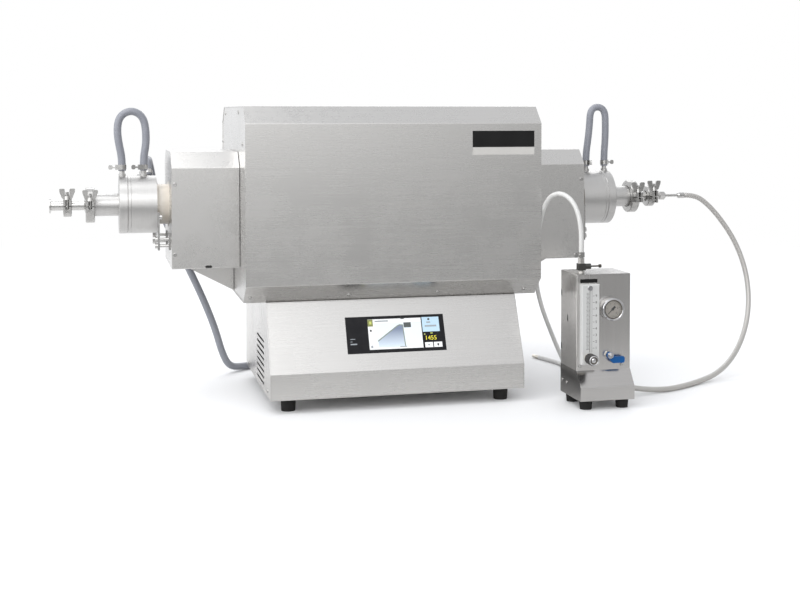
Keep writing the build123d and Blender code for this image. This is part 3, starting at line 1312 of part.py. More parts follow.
def build_hoses():
    """The free hoses and what is fixed on them."""
    return {
        "loop_hose_left": cord_tube(loop_route(LOOP_LEFT, -1), WATER_HOSE_RADIUS, "loop_hose_left"),
        "loop_hose_right": cord_tube(loop_route(LOOP_RIGHT, 1), WATER_HOSE_RADIUS, "loop_hose_right"),
        "water_hose": cord_tube(water_route(), WATER_HOSE_RADIUS, "water_hose"),
        "gas_hose": cord_tube(gas_route(), GAS_HOSE_RADIUS, "gas_hose"),
        "supply_hose": cord_tube(supply_route(), SUPPLY_HOSE_RADIUS, "supply_hose"),
        "gas_hose_fitting": gas_hose_fitting(),
        "supply_coupling": supply_coupling(),
    }


def main():
    """Build every node, stand the object on its origin and write the files."""
    os.makedirs("parts", exist_ok=True)
    nodes = build_nodes()
    boxes = [shape.bounding_box() for shape in nodes.values()]
    centre_x = (min(box.min.X for box in boxes) + max(box.max.X for box in boxes)) / 2
    centre_y = (min(box.min.Y for box in boxes) + max(box.max.Y for box in boxes)) / 2
    print(f"origin of the object in the furnace frame: x {centre_x:.3f}, y {centre_y:.3f}")
    nodes.update(build_hoses())
    for name, shape in nodes.items():
        export_step(Pos(-centre_x, -centre_y, 0) * shape, f"parts/{name}.step")
    print(f"{len(nodes)} nodes written")


if __name__ == "__main__":
    main()
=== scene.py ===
"""Looks of a bench-top tube furnace and its gas supply unit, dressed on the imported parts.

Sizes are millimetres in the furnace frame: X runs along the work tube, Y points
to the back and Z is up from the bench.  Meshes are made in metres in the row
frame, which the function row() gives.
"""
from __future__ import annotations

import json
import logging
import math
from abc import ABC, abstractmethod
from contextlib import contextmanager
from dataclasses import dataclass
from enum import Enum
from typing import Callable, ClassVar, Iterator, Sequence

import bpy
from mathutils import Matrix, Vector

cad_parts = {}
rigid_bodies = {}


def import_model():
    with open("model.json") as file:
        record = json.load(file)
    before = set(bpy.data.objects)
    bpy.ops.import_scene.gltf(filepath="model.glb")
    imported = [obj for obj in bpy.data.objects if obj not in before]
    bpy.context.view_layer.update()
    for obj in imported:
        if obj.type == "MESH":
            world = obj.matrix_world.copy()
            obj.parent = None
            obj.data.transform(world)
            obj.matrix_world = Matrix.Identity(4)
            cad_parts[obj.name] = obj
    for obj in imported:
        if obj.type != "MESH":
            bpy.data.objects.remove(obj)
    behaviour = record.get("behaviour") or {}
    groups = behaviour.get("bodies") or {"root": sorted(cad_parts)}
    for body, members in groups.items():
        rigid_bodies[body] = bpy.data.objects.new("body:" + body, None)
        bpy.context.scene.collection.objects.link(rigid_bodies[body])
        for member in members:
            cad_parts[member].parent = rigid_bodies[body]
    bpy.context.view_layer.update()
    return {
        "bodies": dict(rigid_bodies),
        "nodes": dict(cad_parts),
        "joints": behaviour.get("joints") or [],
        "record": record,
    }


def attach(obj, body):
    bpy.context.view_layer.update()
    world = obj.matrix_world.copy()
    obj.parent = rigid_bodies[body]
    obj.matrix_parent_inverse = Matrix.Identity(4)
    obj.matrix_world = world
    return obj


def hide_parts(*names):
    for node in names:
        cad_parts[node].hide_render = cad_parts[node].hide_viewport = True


LOG = logging.getLogger("tube_furnace")
MM = 0.001
ROW_ORIGIN = (2.0, -75.9)
Colour = tuple[float, float, float]
Place = tuple[float, float, float]
Spot = tuple[float, float]
Pick = Callable[[Vector, Vector], bool]


def row(x: float, y: float, z: float) -> Vector:
    """Gives a point of the furnace frame, in millimetres, in the row frame in metres."""
    return Vector((x - ROW_ORIGIN[0], y - ROW_ORIGIN[1], z)) * MM


class Grain(Enum):
    """Direction of the brushing on a sheet: frequency of the streaks on each axis, per metre."""

    ALONG_TUBE = (6.0, 900.0, 900.0)
    ACROSS = (900.0, 6.0, 900.0)
    UPRIGHT = (900.0, 900.0, 6.0)
    TURNED = (700.0, 30.0, 30.0)
    NONE = (160.0, 160.0, 160.0)


# --------------------------------------------------------------- shader boards
class Board:
    """A node tree with short ways to add, set and join nodes."""

    def __init__(self, tree: bpy.types.NodeTree) -> None:
        """Keeps the tree that nodes are added to."""
        self.tree = tree

    def add(self, kind: str, **settings: object) -> bpy.types.Node:
        """Adds a node.

        Args:
            kind: The node's type, without the leading "ShaderNode" where it has one.
            settings: Properties of the node.

        Returns:
            The new node.
        """
        name = kind if kind.startswith("NodeGroup") else f"ShaderNode{kind}"
        node = self.tree.nodes.new(name)
        for key, value in settings.items():
            setattr(node, key, value)
        return node

    def join(self, source: bpy.types.NodeSocket, target: bpy.types.NodeSocket) -> None:
        """Links one socket to another."""
        self.tree.links.new(source, target)

    def sum(self, operation: str, a: object, b: object) -> bpy.types.NodeSocket:
        """Puts a Math node on two values or sockets and gives its output.

        Args:
            operation: The Math node's operation.
            a: First value or socket.
            b: Second value or socket.

        Returns:
            The node's output.
        """
        node = self.add("Math", operation=operation)
        for socket, value in zip(node.inputs, (a, b)):
            if isinstance(value, bpy.types.NodeSocket):
                self.join(value, socket)
            else:
                socket.default_value = value
        return node.outputs[0]

    def noise(self, where: bpy.types.NodeSocket, scale: float, detail: float = 2.0,
              rough: float = 0.5) -> bpy.types.NodeSocket:
        """Puts a noise texture on the coordinates and gives its value.

        Args:
            where: Coordinates of the texture.
            scale: Its scale.
            detail: Its octaves.
            rough: Its roughness.

        Returns:
            The node's output.
        """
        node = self.add("TexNoise")
        node.inputs["Scale"].default_value = scale
        node.inputs["Detail"].default_value = detail
        node.inputs["Roughness"].default_value = rough
        self.join(where, node.inputs["Vector"])
        return node.outputs["Fac"]

    def span(self, value: bpy.types.NodeSocket, low: float, high: float, to_low: float = 0.0,
             to_high: float = 1.0) -> bpy.types.NodeSocket:
        """Maps a value from one span to another, clamped, and gives the result.

        Args:
            value: The value to map.
            low: Start of its span.
            high: End of its span.
            to_low: Start of the new span.
            to_high: End of the new span.

        Returns:
            The node's output.
        """
        node = self.add("MapRange")
        for key, number in zip(("From Min", "From Max", "To Min", "To Max"),
                               (low, high, to_low, to_high)):
            node.inputs[key].default_value = number
        self.join(value, node.inputs["Value"])
        return node.outputs["Result"]

    def blend(self, mask: object, under: object, over: object,
              how: str = "MIX") -> bpy.types.NodeSocket:
        """Mixes two colours by a mask and gives the result.

        Args:
            mask: Share of the upper colour, as a number or a socket.
            under: Lower colour or socket.
            over: Upper colour or socket.
            how: The way of mixing.

        Returns:
            The node's output.
        """
        node = self.add("Mix", data_type="RGBA", blend_type=how)
        for socket, value in zip((node.inputs[0], node.inputs[6], node.inputs[7]),
                                 (mask, under, over)):
            if isinstance(value, bpy.types.NodeSocket):
                self.join(value, socket)
            elif isinstance(value, tuple):
                socket.default_value = (*value, 1.0)
            else:
                socket.default_value = value
        return node.outputs[2]


def new_group(name: str, inputs: Sequence[tuple[str, str, object]],
              outputs: Sequence[tuple[str, str]]) -> tuple[Board, bpy.types.Node, bpy.types.Node]:
    """Starts a shader node group.

    Args:
        name: Name of the group.
        inputs: Name, socket type and default of each input.
        outputs: Name and socket type of each output.

    Returns:
        The group's board and its input and output nodes.
    """
    tree = bpy.data.node_groups.new(name, "ShaderNodeTree")
    for label, kind, value in inputs:
        socket = tree.interface.new_socket(label, in_out="INPUT", socket_type=kind)
        if value is not None:
            socket.default_value = value
    for label, kind in outputs:
        tree.interface.new_socket(label, in_out="OUTPUT", socket_type=kind)
    board = Board(tree)
    return board, board.add("NodeGroupInput"), board.add("NodeGroupOutput")


class Effects:
    """Shader node groups that several finishes share."""

    def __init__(self) -> None:
        """Builds every group once."""
        self.brushing = self.build_brushing()
        self.smudges = self.build_smudges()
        self.dust = self.build_dust()

    @staticmethod
    def build_brushing() -> bpy.types.NodeTree:
        """Streaks drawn out along one axis, fine ones on broad ones.

        Returns:
            The group's tree.
        """
        board, given, result = new_group(
            "brushing",
            [("Where", "NodeSocketVector", None), ("Stretch", "NodeSocketVector", (6, 900, 900))],
            [("Streaks", "NodeSocketFloat"), ("Bands", "NodeSocketFloat")])
        stretched = board.add("VectorMath", operation="MULTIPLY")
        board.join(given.outputs["Where"], stretched.inputs[0])
        board.join(given.outputs["Stretch"], stretched.inputs[1])
        broad = board.add("VectorMath", operation="SCALE")
        broad.inputs["Scale"].default_value = 0.12
        board.join(stretched.outputs[0], broad.inputs[0])
        board.join(board.noise(stretched.outputs[0], 1.0, 3.0, 0.6), result.inputs["Streaks"])
        board.join(board.noise(broad.outputs[0], 1.0, 2.0, 0.5), result.inputs["Bands"])
        return board.tree

    @staticmethod
    def build_smudges() -> bpy.types.NodeTree:
        """Soft patches left by wiping, with a few small spots.

        Returns:
            The group's tree.
        """
        board, given, result = new_group(
            "smudges",
            [("Where", "NodeSocketVector", None), ("Scale", "NodeSocketFloat", 9.0)],
            [("Patches", "NodeSocketFloat"), ("Spots", "NodeSocketFloat")])
        scaled = board.add("VectorMath", operation="SCALE")
        board.join(given.outputs["Where"], scaled.inputs[0])
        board.join(given.outputs["Scale"], scaled.inputs["Scale"])
        board.join(board.span(board.noise(scaled.outputs[0], 1.0, 4.0, 0.6), 0.35, 0.7),
                   result.inputs["Patches"])
        board.join(board.span(board.noise(scaled.outputs[0], 26.0, 2.0, 0.5), 0.62, 0.78),
                   result.inputs["Spots"])
        return board.tree

    @staticmethod
    def build_dust() -> bpy.types.NodeTree:
        """A light settling on faces that point up.

        Returns:
            The group's tree.
        """
        board, given, result = new_group(
            "settled_dust", [("Where", "NodeSocketVector", None)], [("Mask", "NodeSocketFloat")])
        normal = board.add("NewGeometry").outputs["Normal"]
        parts = board.add("SeparateXYZ")
        board.join(normal, parts.inputs[0])
        upward = board.span(parts.outputs["Z"], 0.4, 1.0)
        patchy = board.span(board.noise(given.outputs["Where"], 60.0, 3.0, 0.6), 0.4, 0.75)
        board.join(board.sum("MULTIPLY", upward, patchy), result.inputs["Mask"])
        return board.tree


class Paintwork:
    """A material under construction, with its shader and object coordinates."""

    def __init__(self, name: str, effects: Effects) -> None:
        """Starts an empty material.

        Args:
            name: Name of the material.
            effects: The shared node groups.
        """
        self.effects = effects
        self.material = bpy.data.materials.new(name)
        self.material.use_nodes = True
        self.material.node_tree.nodes.clear()
        self.board = Board(self.material.node_tree)
        self.shader = self.board.add("BsdfPrincipled")
        output = self.board.add("OutputMaterial")
        self.board.join(self.shader.outputs[0], output.inputs["Surface"])
        self.where = self.board.add("TexCoord").outputs["Object"]

    def plain(self, **values: object) -> None:
        """Sets sockets of the shader to constants, with _ for a blank in a name.

        Args:
            values: Constant of each socket.
        """
        for key, value in values.items():
            name = key.replace("_", " ")
            number = (*value, 1.0) if isinstance(value, tuple) else value
            self.shader.inputs[name].default_value = number

    def feed(self, socket: str, source: bpy.types.NodeSocket) -> None:
        """Links a source to one of the shader's sockets."""
        self.board.join(source, self.shader.inputs[socket])

    def group(self, tree: bpy.types.NodeTree, **values: object) -> bpy.types.Node:
        """Places a shared group, reading the object coordinates.

        Args:
            tree: The group.
            values: Constant of each of its inputs.

        Returns:
            The group's node.
        """
        node = self.board.add("Group", node_tree=tree)
        self.board.join(self.where, node.inputs["Where"])
        for key, value in values.items():
            node.inputs[key].default_value = value
        return node

    def bump(self, height: bpy.types.NodeSocket, depth_mm: float, strength: float = 1.0,
             under: bpy.types.NodeSocket | None = None) -> bpy.types.NodeSocket:
        """Turns a height into a normal and gives it.

        Args:
            height: The height's socket.
            depth_mm: Distance between low and high.
            strength: Strength of the bump.
            under: Normal that it is laid on, if any.

        Returns:
            The normal's socket.
        """
        node = self.board.add("Bump")
        node.inputs["Strength"].default_value = strength
        node.inputs["Distance"].default_value = depth_mm * MM
        self.board.join(height, node.inputs["Height"])
        if under is not None:
            self.board.join(under, node.inputs["Normal"])
        return node.outputs["Normal"]


# -------------------------------------------------------------------- finishes
@dataclass(frozen=True)
class Finish(ABC):
    """A finish, which makes one material under its own name."""

    name: str

    def build(self, effects: Effects) -> bpy.types.Material:
        """Makes the material.

        Args:
            effects: The shared node groups.

        Returns:
            The finished material.
        """
        work = Paintwork(self.name, effects)
        self.paint(work)
        return work.material

    @abstractmethod
    def paint(self, work: Paintwork) -> None:
        """Adds the finish's nodes to a material under construction."""


@dataclass(frozen=True)
class SheetMetal(Finish):
    """Ground or polished metal with streaks, wiped patches and a little dust, and where asked
    painted shade on the faces that point sideways.
    """

    colour: Colour
    shade: Colour
    grain: Grain
    roughness: float = 0.3
    depth_mm: float = 0.02
    tarnish: float = 0.25
    dark_band_mm: tuple[float, float] | None = None
    painted_side_shade: float = 0.0

    def band(self, work: Paintwork, base: bpy.types.NodeSocket) -> bpy.types.NodeSocket:
        """Darkens a band of heights, the part's own dark band; without one, paints shade on the
        faces that point sideways.

        Args:
            work: The material.
            base: Colour so far.

        Returns:
            The colour with its dark part.
        """
        board = work.board
        parts = board.add("SeparateXYZ")
        if self.dark_band_mm is not None:
            low, high = (edge * MM for edge in self.dark_band_mm)
            board.join(work.where, parts.inputs[0])
            above = board.sum("GREATER_THAN", parts.outputs["Z"], low)
            inside = board.sum("MULTIPLY", above, board.sum("LESS_THAN", parts.outputs["Z"], high))
            return board.blend(inside, base, (0.1, 0.1, 0.095))
        # Painted shade: faces that point sideways are blended towards a dark grey.
        board.join(board.add("NewGeometry").outputs["Normal"], parts.inputs[0])
        sideways = board.sum("ABSOLUTE", parts.outputs["X"], 0.0)
        side_shade_mask = board.span(sideways, 0.7, 0.95, 0.0, self.painted_side_shade)
        return board.blend(side_shade_mask, base, (0.08, 0.078, 0.075))

    def paint(self, work: Paintwork) -> None:
        """Adds the finish's nodes.

        Args:
            work: The material.
        """
        board = work.board
        brushed = work.group(work.effects.brushing, Stretch=self.grain.value)
        wiped = work.group(work.effects.smudges, Scale=11.0)
        dust = work.group(work.effects.dust)
        streaks, bands = brushed.outputs["Streaks"], brushed.outputs["Bands"]
        base = board.blend(board.span(streaks, 0.3, 0.7), self.shade, self.colour)
        base = board.blend(board.sum("MULTIPLY", bands, self.tarnish), base, self.shade)
        base = board.blend(board.sum("MULTIPLY", dust.outputs["Mask"], 0.05), base,
                           (0.6, 0.58, 0.54))
        if self.dark_band_mm is not None or self.painted_side_shade:
            base = self.band(work, base)
        rough = board.sum("ADD", board.span(streaks, 0.25, 0.75, self.roughness - 0.03,
                                            self.roughness + 0.03),
                          board.sum("MULTIPLY", wiped.outputs["Patches"], 0.05))
        work.feed("Base Color", base)
        work.feed("Roughness", board.sum("ADD", rough,
                                         board.sum("MULTIPLY", dust.outputs["Mask"], 0.12)))
        work.feed("Normal", work.bump(streaks, self.depth_mm, 0.12))
        work.plain(Metallic=1.0)


@dataclass(frozen=True)
class Moulded(Finish):
    """Plastic, rubber or enamel with a fine grained skin and handling marks."""

    colour: Colour
    worn: Colour
    roughness: float = 0.5
    grain_per_m: float = 1500.0
    depth_mm: float = 0.03
    shine: float = 0.5

    def paint(self, work: Paintwork) -> None:
        """Adds the finish's nodes.

        Args:
            work: The material.
        """
        board = work.board
        marks = work.group(work.effects.smudges, Scale=30.0)
        dust = work.group(work.effects.dust)
        skin = board.noise(work.where, self.grain_per_m, 2.0, 0.6)
        base = board.blend(board.sum("MULTIPLY", marks.outputs["Patches"], 0.5), self.colour,
                           self.worn)
        base = board.blend(board.sum("MULTIPLY", dust.outputs["Mask"], 0.18), base,
                           (0.5, 0.48, 0.45))
        work.feed("Base Color", base)
        work.feed("Roughness", board.span(marks.outputs["Patches"], 0.0, 1.0, self.roughness,
                                          min(self.roughness + 0.12, 1.0)))
        work.feed("Normal", work.bump(skin, self.depth_mm, 0.4))
        work.plain(Specular_IOR_Level=self.shine)


@dataclass(frozen=True)
class FiredCeramic(Finish):
    """Cream or white ceramic with faint turned bands and fine pores."""

    colour: Colour
    band: Colour
    roughness: float = 0.4
    bands_per_m: float = 60.0

    def paint(self, work: Paintwork) -> None:
        """Adds the finish's nodes.

        Args:
            work: The material.
        """
        board = work.board
        rings = work.group(work.effects.brushing, Stretch=(self.bands_per_m, 3.0, 3.0))
        pores = board.noise(work.where, 900.0, 3.0, 0.7)
        base = board.blend(board.span(rings.outputs["Streaks"], 0.35, 0.7), self.colour, self.band)
        work.feed("Base Color", base)
        work.feed("Roughness", board.span(pores, 0.3, 0.7, self.roughness - 0.1,
                                          self.roughness + 0.1))
        work.feed("Normal", work.bump(pores, 0.04, 0.4))


@dataclass(frozen=True)
class ClearBlock(Finish):
    """Clear plastic or glass with slight haze where it was machined."""

    tint: Colour
    transmission: float = 0.9
    roughness: float = 0.06

    def paint(self, work: Paintwork) -> None:
        """Adds the finish's nodes.

        Args:
            work: The material.
        """
        board = work.board
        haze = work.group(work.effects.smudges, Scale=60.0)
        work.feed("Base Color", board.blend(board.sum("MULTIPLY", haze.outputs["Spots"], 0.3),
                                            self.tint, (0.9, 0.9, 0.9)))
        work.feed("Roughness", board.span(haze.outputs["Patches"], 0.0, 1.0, self.roughness,
                                          self.roughness + 0.1))
        work.plain(Metallic=0.0, Transmission_Weight=self.transmission, IOR=1.45)


@dataclass(frozen=True)
class Braid(Finish):
    """Woven wire or yarn round a hose, following the hose's own map."""

    colour: Colour
    gap: Colour
    turns: float
    strands: float
    metallic: float = 0.0
    roughness: float = 0.45

    def paint(self, work: Paintwork) -> None:
        """Adds the finish's nodes.

        Args:
            work: The material.
        """
        board = work.board
        parts = board.add("SeparateXYZ")
        board.join(board.add("UVMap").outputs["UV"], parts.inputs[0])
        waves = []
        for sign in (1.0, -1.0):
            lean = board.sum("MULTIPLY", parts.outputs["Y"], sign * self.strands)
            along = board.sum("MULTIPLY", parts.outputs["X"], self.turns)
            phase = board.sum("MULTIPLY", board.sum("ADD", along, lean), 2 * math.pi)
            waves.append(board.span(board.sum("SINE", phase, 0.0), -1.0, 1.0))
        weave = board.sum("MAXIMUM", *waves)
        work.feed("Base Color", board.blend(board.span(weave, 0.4, 0.95), self.gap, self.colour))
        work.feed("Roughness", board.span(weave, 0.3, 1.0, self.roughness + 0.2, self.roughness))
        work.feed("Normal", work.bump(weave, 0.2, 0.45))
        work.plain(Metallic=self.metallic)


@dataclass(frozen=True)
class Ink(Finish):
    """Printed or lit colour, or a painted shadow line, with the fine dots of a screen or of print.
    """

    colour: Colour
    foot: Colour | None = None
    glow: float = 0.0
    fade_mm: tuple[float, float] = (110.0, 155.0)

    def paint(self, work: Paintwork) -> None:
        """Adds the finish's nodes.

        Args:
            work: The material.
        """
        board = work.board
        dots = board.noise(work.where, 2600.0, 1.0, 0.4)
        parts = board.add("SeparateXYZ")
        board.join(work.where, parts.inputs[0])
        height = board.span(parts.outputs["Z"], self.fade_mm[0] * MM, self.fade_mm[1] * MM)
        base = board.blend(height, self.foot or self.colour, self.colour)
        base = board.blend(board.span(dots, 0.35, 0.7, 0.0, 0.12), base, (0.3, 0.3, 0.3))
        work.feed("Base Color", base)
        work.feed("Emission Color", base)
        work.feed("Roughness", board.span(dots, 0.3, 0.7, 0.12, 0.24))
        work.plain(Emission_Strength=self.glow, Coat_Weight=0.5, Coat_Roughness=0.06)


class Wardrobe:
    """Every finish of the furnace, made once and handed out by name."""

    def __init__(self, effects: Effects) -> None:
        """Makes the materials.

        Args:
            effects: The shared node groups.
        """
        steel, steel_shade = (0.625, 0.617, 0.605), (0.60, 0.592, 0.58)
        bright, bright_shade = (0.6, 0.595, 0.585), (0.53, 0.525, 0.515)
        finishes: list[Finish] = [
            SheetMetal("casing_sheet", steel, steel_shade, Grain.ALONG_TUBE, 0.25, 0.004, 0.15),
            SheetMetal("end_sheet", steel, steel_shade, Grain.ACROSS, 0.26, 0.004, 0.15),
            SheetMetal("gas_unit_sheet", (0.62, 0.608, 0.595), (0.58, 0.568, 0.555),
                       Grain.UPRIGHT, 0.22, 0.004, 0.15),
            # gas_base_sheet: painted shade darkens its faces that point sideways.
            SheetMetal("gas_base_sheet", (0.56, 0.55, 0.54), (0.52, 0.51, 0.5),
                       Grain.ALONG_TUBE, 0.16, painted_side_shade=0.6),
            SheetMetal("two_tone_brass", (0.6, 0.59, 0.57), (0.5, 0.49, 0.47), Grain.NONE, 0.3,
                       dark_band_mm=(262.0, 276.2)),
            SheetMetal("zinc_sheet", (0.6, 0.62, 0.64), (0.48, 0.5, 0.52), Grain.NONE, 0.42),
            SheetMetal("satin_turned", (0.56, 0.555, 0.55), (0.52, 0.515, 0.505),
                       Grain.TURNED, 0.36, 0.01),
            SheetMetal("polished_pipe", bright, bright_shade, Grain.TURNED, 0.2, 0.005, 0.1),
            SheetMetal("cast_clamp", (0.5, 0.495, 0.485), (0.4, 0.395, 0.385),
                       Grain.NONE, 0.26, 0.05),
            SheetMetal("bare_aluminium", (0.75, 0.75, 0.75), (0.6, 0.6, 0.6), Grain.NONE, 0.38),
            SheetMetal("plated_steel", (0.6, 0.595, 0.585), (0.5, 0.495, 0.485),
                       Grain.NONE, 0.16, 0.01, 0.1),
            SheetMetal("plated_brass", (0.7, 0.68, 0.63), (0.55, 0.52, 0.46), Grain.NONE, 0.25),
            # Dark brass of the valve plunger; also laid as painted shade on rings of turned pieces.
            SheetMetal("dark_brass", (0.16, 0.15, 0.13), (0.1, 0.09, 0.08), Grain.NONE, 0.35, 0.03),
            SheetMetal("carbide", (0.1, 0.1, 0.105), (0.06, 0.06, 0.065), Grain.NONE, 0.55, 0.08),
            Moulded("black_plastic", (0.016, 0.016, 0.017), (0.03, 0.029, 0.028), 0.42, shine=0.35),
            Moulded("black_rubber", (0.012, 0.012, 0.012), (0.028, 0.027, 0.026), 0.72, 700.0, 0.08,
                    shine=0.25),
            Moulded("grey_plastic", (0.3, 0.31, 0.32), (0.36, 0.36, 0.36), 0.5),
            Moulded("display_glass", (0.006, 0.006, 0.008), (0.01, 0.01, 0.012), 0.06, 200.0, 0.002,
                    shine=0.22),
            Moulded("blue_dip", (0.001, 0.075, 0.26), (0.003, 0.09, 0.29), 0.42, 900.0, 0.04,
                    shine=0.3),
            Moulded("needle_black", (0.015, 0.015, 0.015), (0.03, 0.03, 0.03), 0.35),
            Moulded("water_rubber", (0.235, 0.245, 0.28), (0.28, 0.29, 0.325), 0.36, 1100.0, 0.02),
            FiredCeramic("dense_ceramic", (0.66, 0.6, 0.52), (0.76, 0.72, 0.66), 0.35),
            FiredCeramic("fibre_board", (0.86, 0.84, 0.79), (0.9, 0.88, 0.84), 0.9, 20.0),
            ClearBlock("clear_block", (0.66, 0.665, 0.66), 0.15, 0.1),
            ClearBlock("gauge_window", (0.97, 0.98, 0.98), 0.97, 0.02),
            SheetMetal("chrome", (0.6, 0.6, 0.61), (0.5, 0.5, 0.51), Grain.NONE, 0.07, 0.004, 0.05),
            Moulded("shadow_gap", (0.012, 0.012, 0.012), (0.02, 0.02, 0.02), 0.8),
            Moulded("plate_black", (0.008, 0.008, 0.008), (0.014, 0.014, 0.014), 0.3, 900.0, 0.01,
                    shine=0.2),
            Moulded("plate_grey", (0.56, 0.55, 0.53), (0.6, 0.59, 0.57), 0.35, 900.0, 0.01),
            Ink("screen_white", (0.8, 0.81, 0.82), glow=0.2),
            Ink("screen_pale", (0.7, 0.77, 0.83), glow=0.2),
            Ink("screen_blue", (0.46, 0.64, 0.78), glow=0.15),
            Ink("screen_ramp", (0.16, 0.2, 0.3), (0.66, 0.76, 0.86), 0.15, (112.0, 148.0)),
            Ink("screen_line", (0.2, 0.24, 0.2), glow=0.1),
            Ink("screen_olive", (0.2, 0.22, 0.05), glow=0.05),
            Ink("screen_lime", (0.5, 0.56, 0.12), glow=0.1),
            Ink("screen_yellow", (0.8, 0.7, 0.02), glow=0.3),
            Ink("screen_slate", (0.05, 0.06, 0.06), glow=0.05),
            Ink("screen_grey", (0.3, 0.33, 0.36), glow=0.1),
            Ink("screen_black", (0.015, 0.018, 0.02), glow=0.02),
            Ink("mark_ink", (0.03, 0.03, 0.03)),
            # Painted shadow of the flow tube.
            Ink("tube_shadow", (0.22, 0.22, 0.21)),
            Ink("dial_beige", (0.62, 0.56, 0.5)),
            Braid("wire_braid", (0.56, 0.55, 0.53), (0.34, 0.33, 0.32), 170.0, 8.0, 0.5, 0.38),
            Braid("yarn_braid", (0.7, 0.7, 0.69), (0.58, 0.58, 0.57), 150.0, 6.0, 0.0, 0.3),
        ]
        self.materials = {finish.name: finish.build(effects) for finish in finishes}

    def dress(self, piece: bpy.types.Object, name: str) -> bpy.types.Object:
        """Gives a piece one finish all over.

        Args:
            piece: A mesh or curve.
            name: Name of the finish.

        Returns:
            The piece.
        """
        piece.data.materials.clear()
        piece.data.materials.append(self.materials[name])
        return piece


# ------------------------------------------------------------- modelling bench
def deselect() -> None:
    """Leaves object mode with nothing selected."""
    if bpy.context.object is not None and bpy.context.object.mode != "OBJECT":
        bpy.ops.object.mode_set(mode="OBJECT")
    bpy.ops.object.select_all(action="DESELECT")


def settle(piece: bpy.types.Object) -> bpy.types.Object:
    """Moves the object's place, turn and scale into its mesh."""
    piece.data.transform(piece.matrix_basis)
    piece.matrix_basis = Matrix.Identity(4)
    return piece


def on_face(origin: Place, out: Place = (0.0, -1.0, 0.0), up: Place = (0.0, 0.0, 1.0)) -> Matrix:
    """Gives the place of a piece on a face.

    Args:
        origin: Point of the face, in the furnace frame.
        out: Direction out of the face, the piece's own Z.
        up: Direction up the face, the piece's own Y.

    Returns:
        The matrix from the piece's own millimetres to the row frame.
    """
    ahead = Vector(out).normalized()
    right = Vector(up).cross(ahead).normalized()
    turn = Matrix((right, ahead.cross(right), ahead)).transposed().to_4x4()
    return Matrix.Translation(row(*origin)) @ turn @ Matrix.Scale(MM, 4)


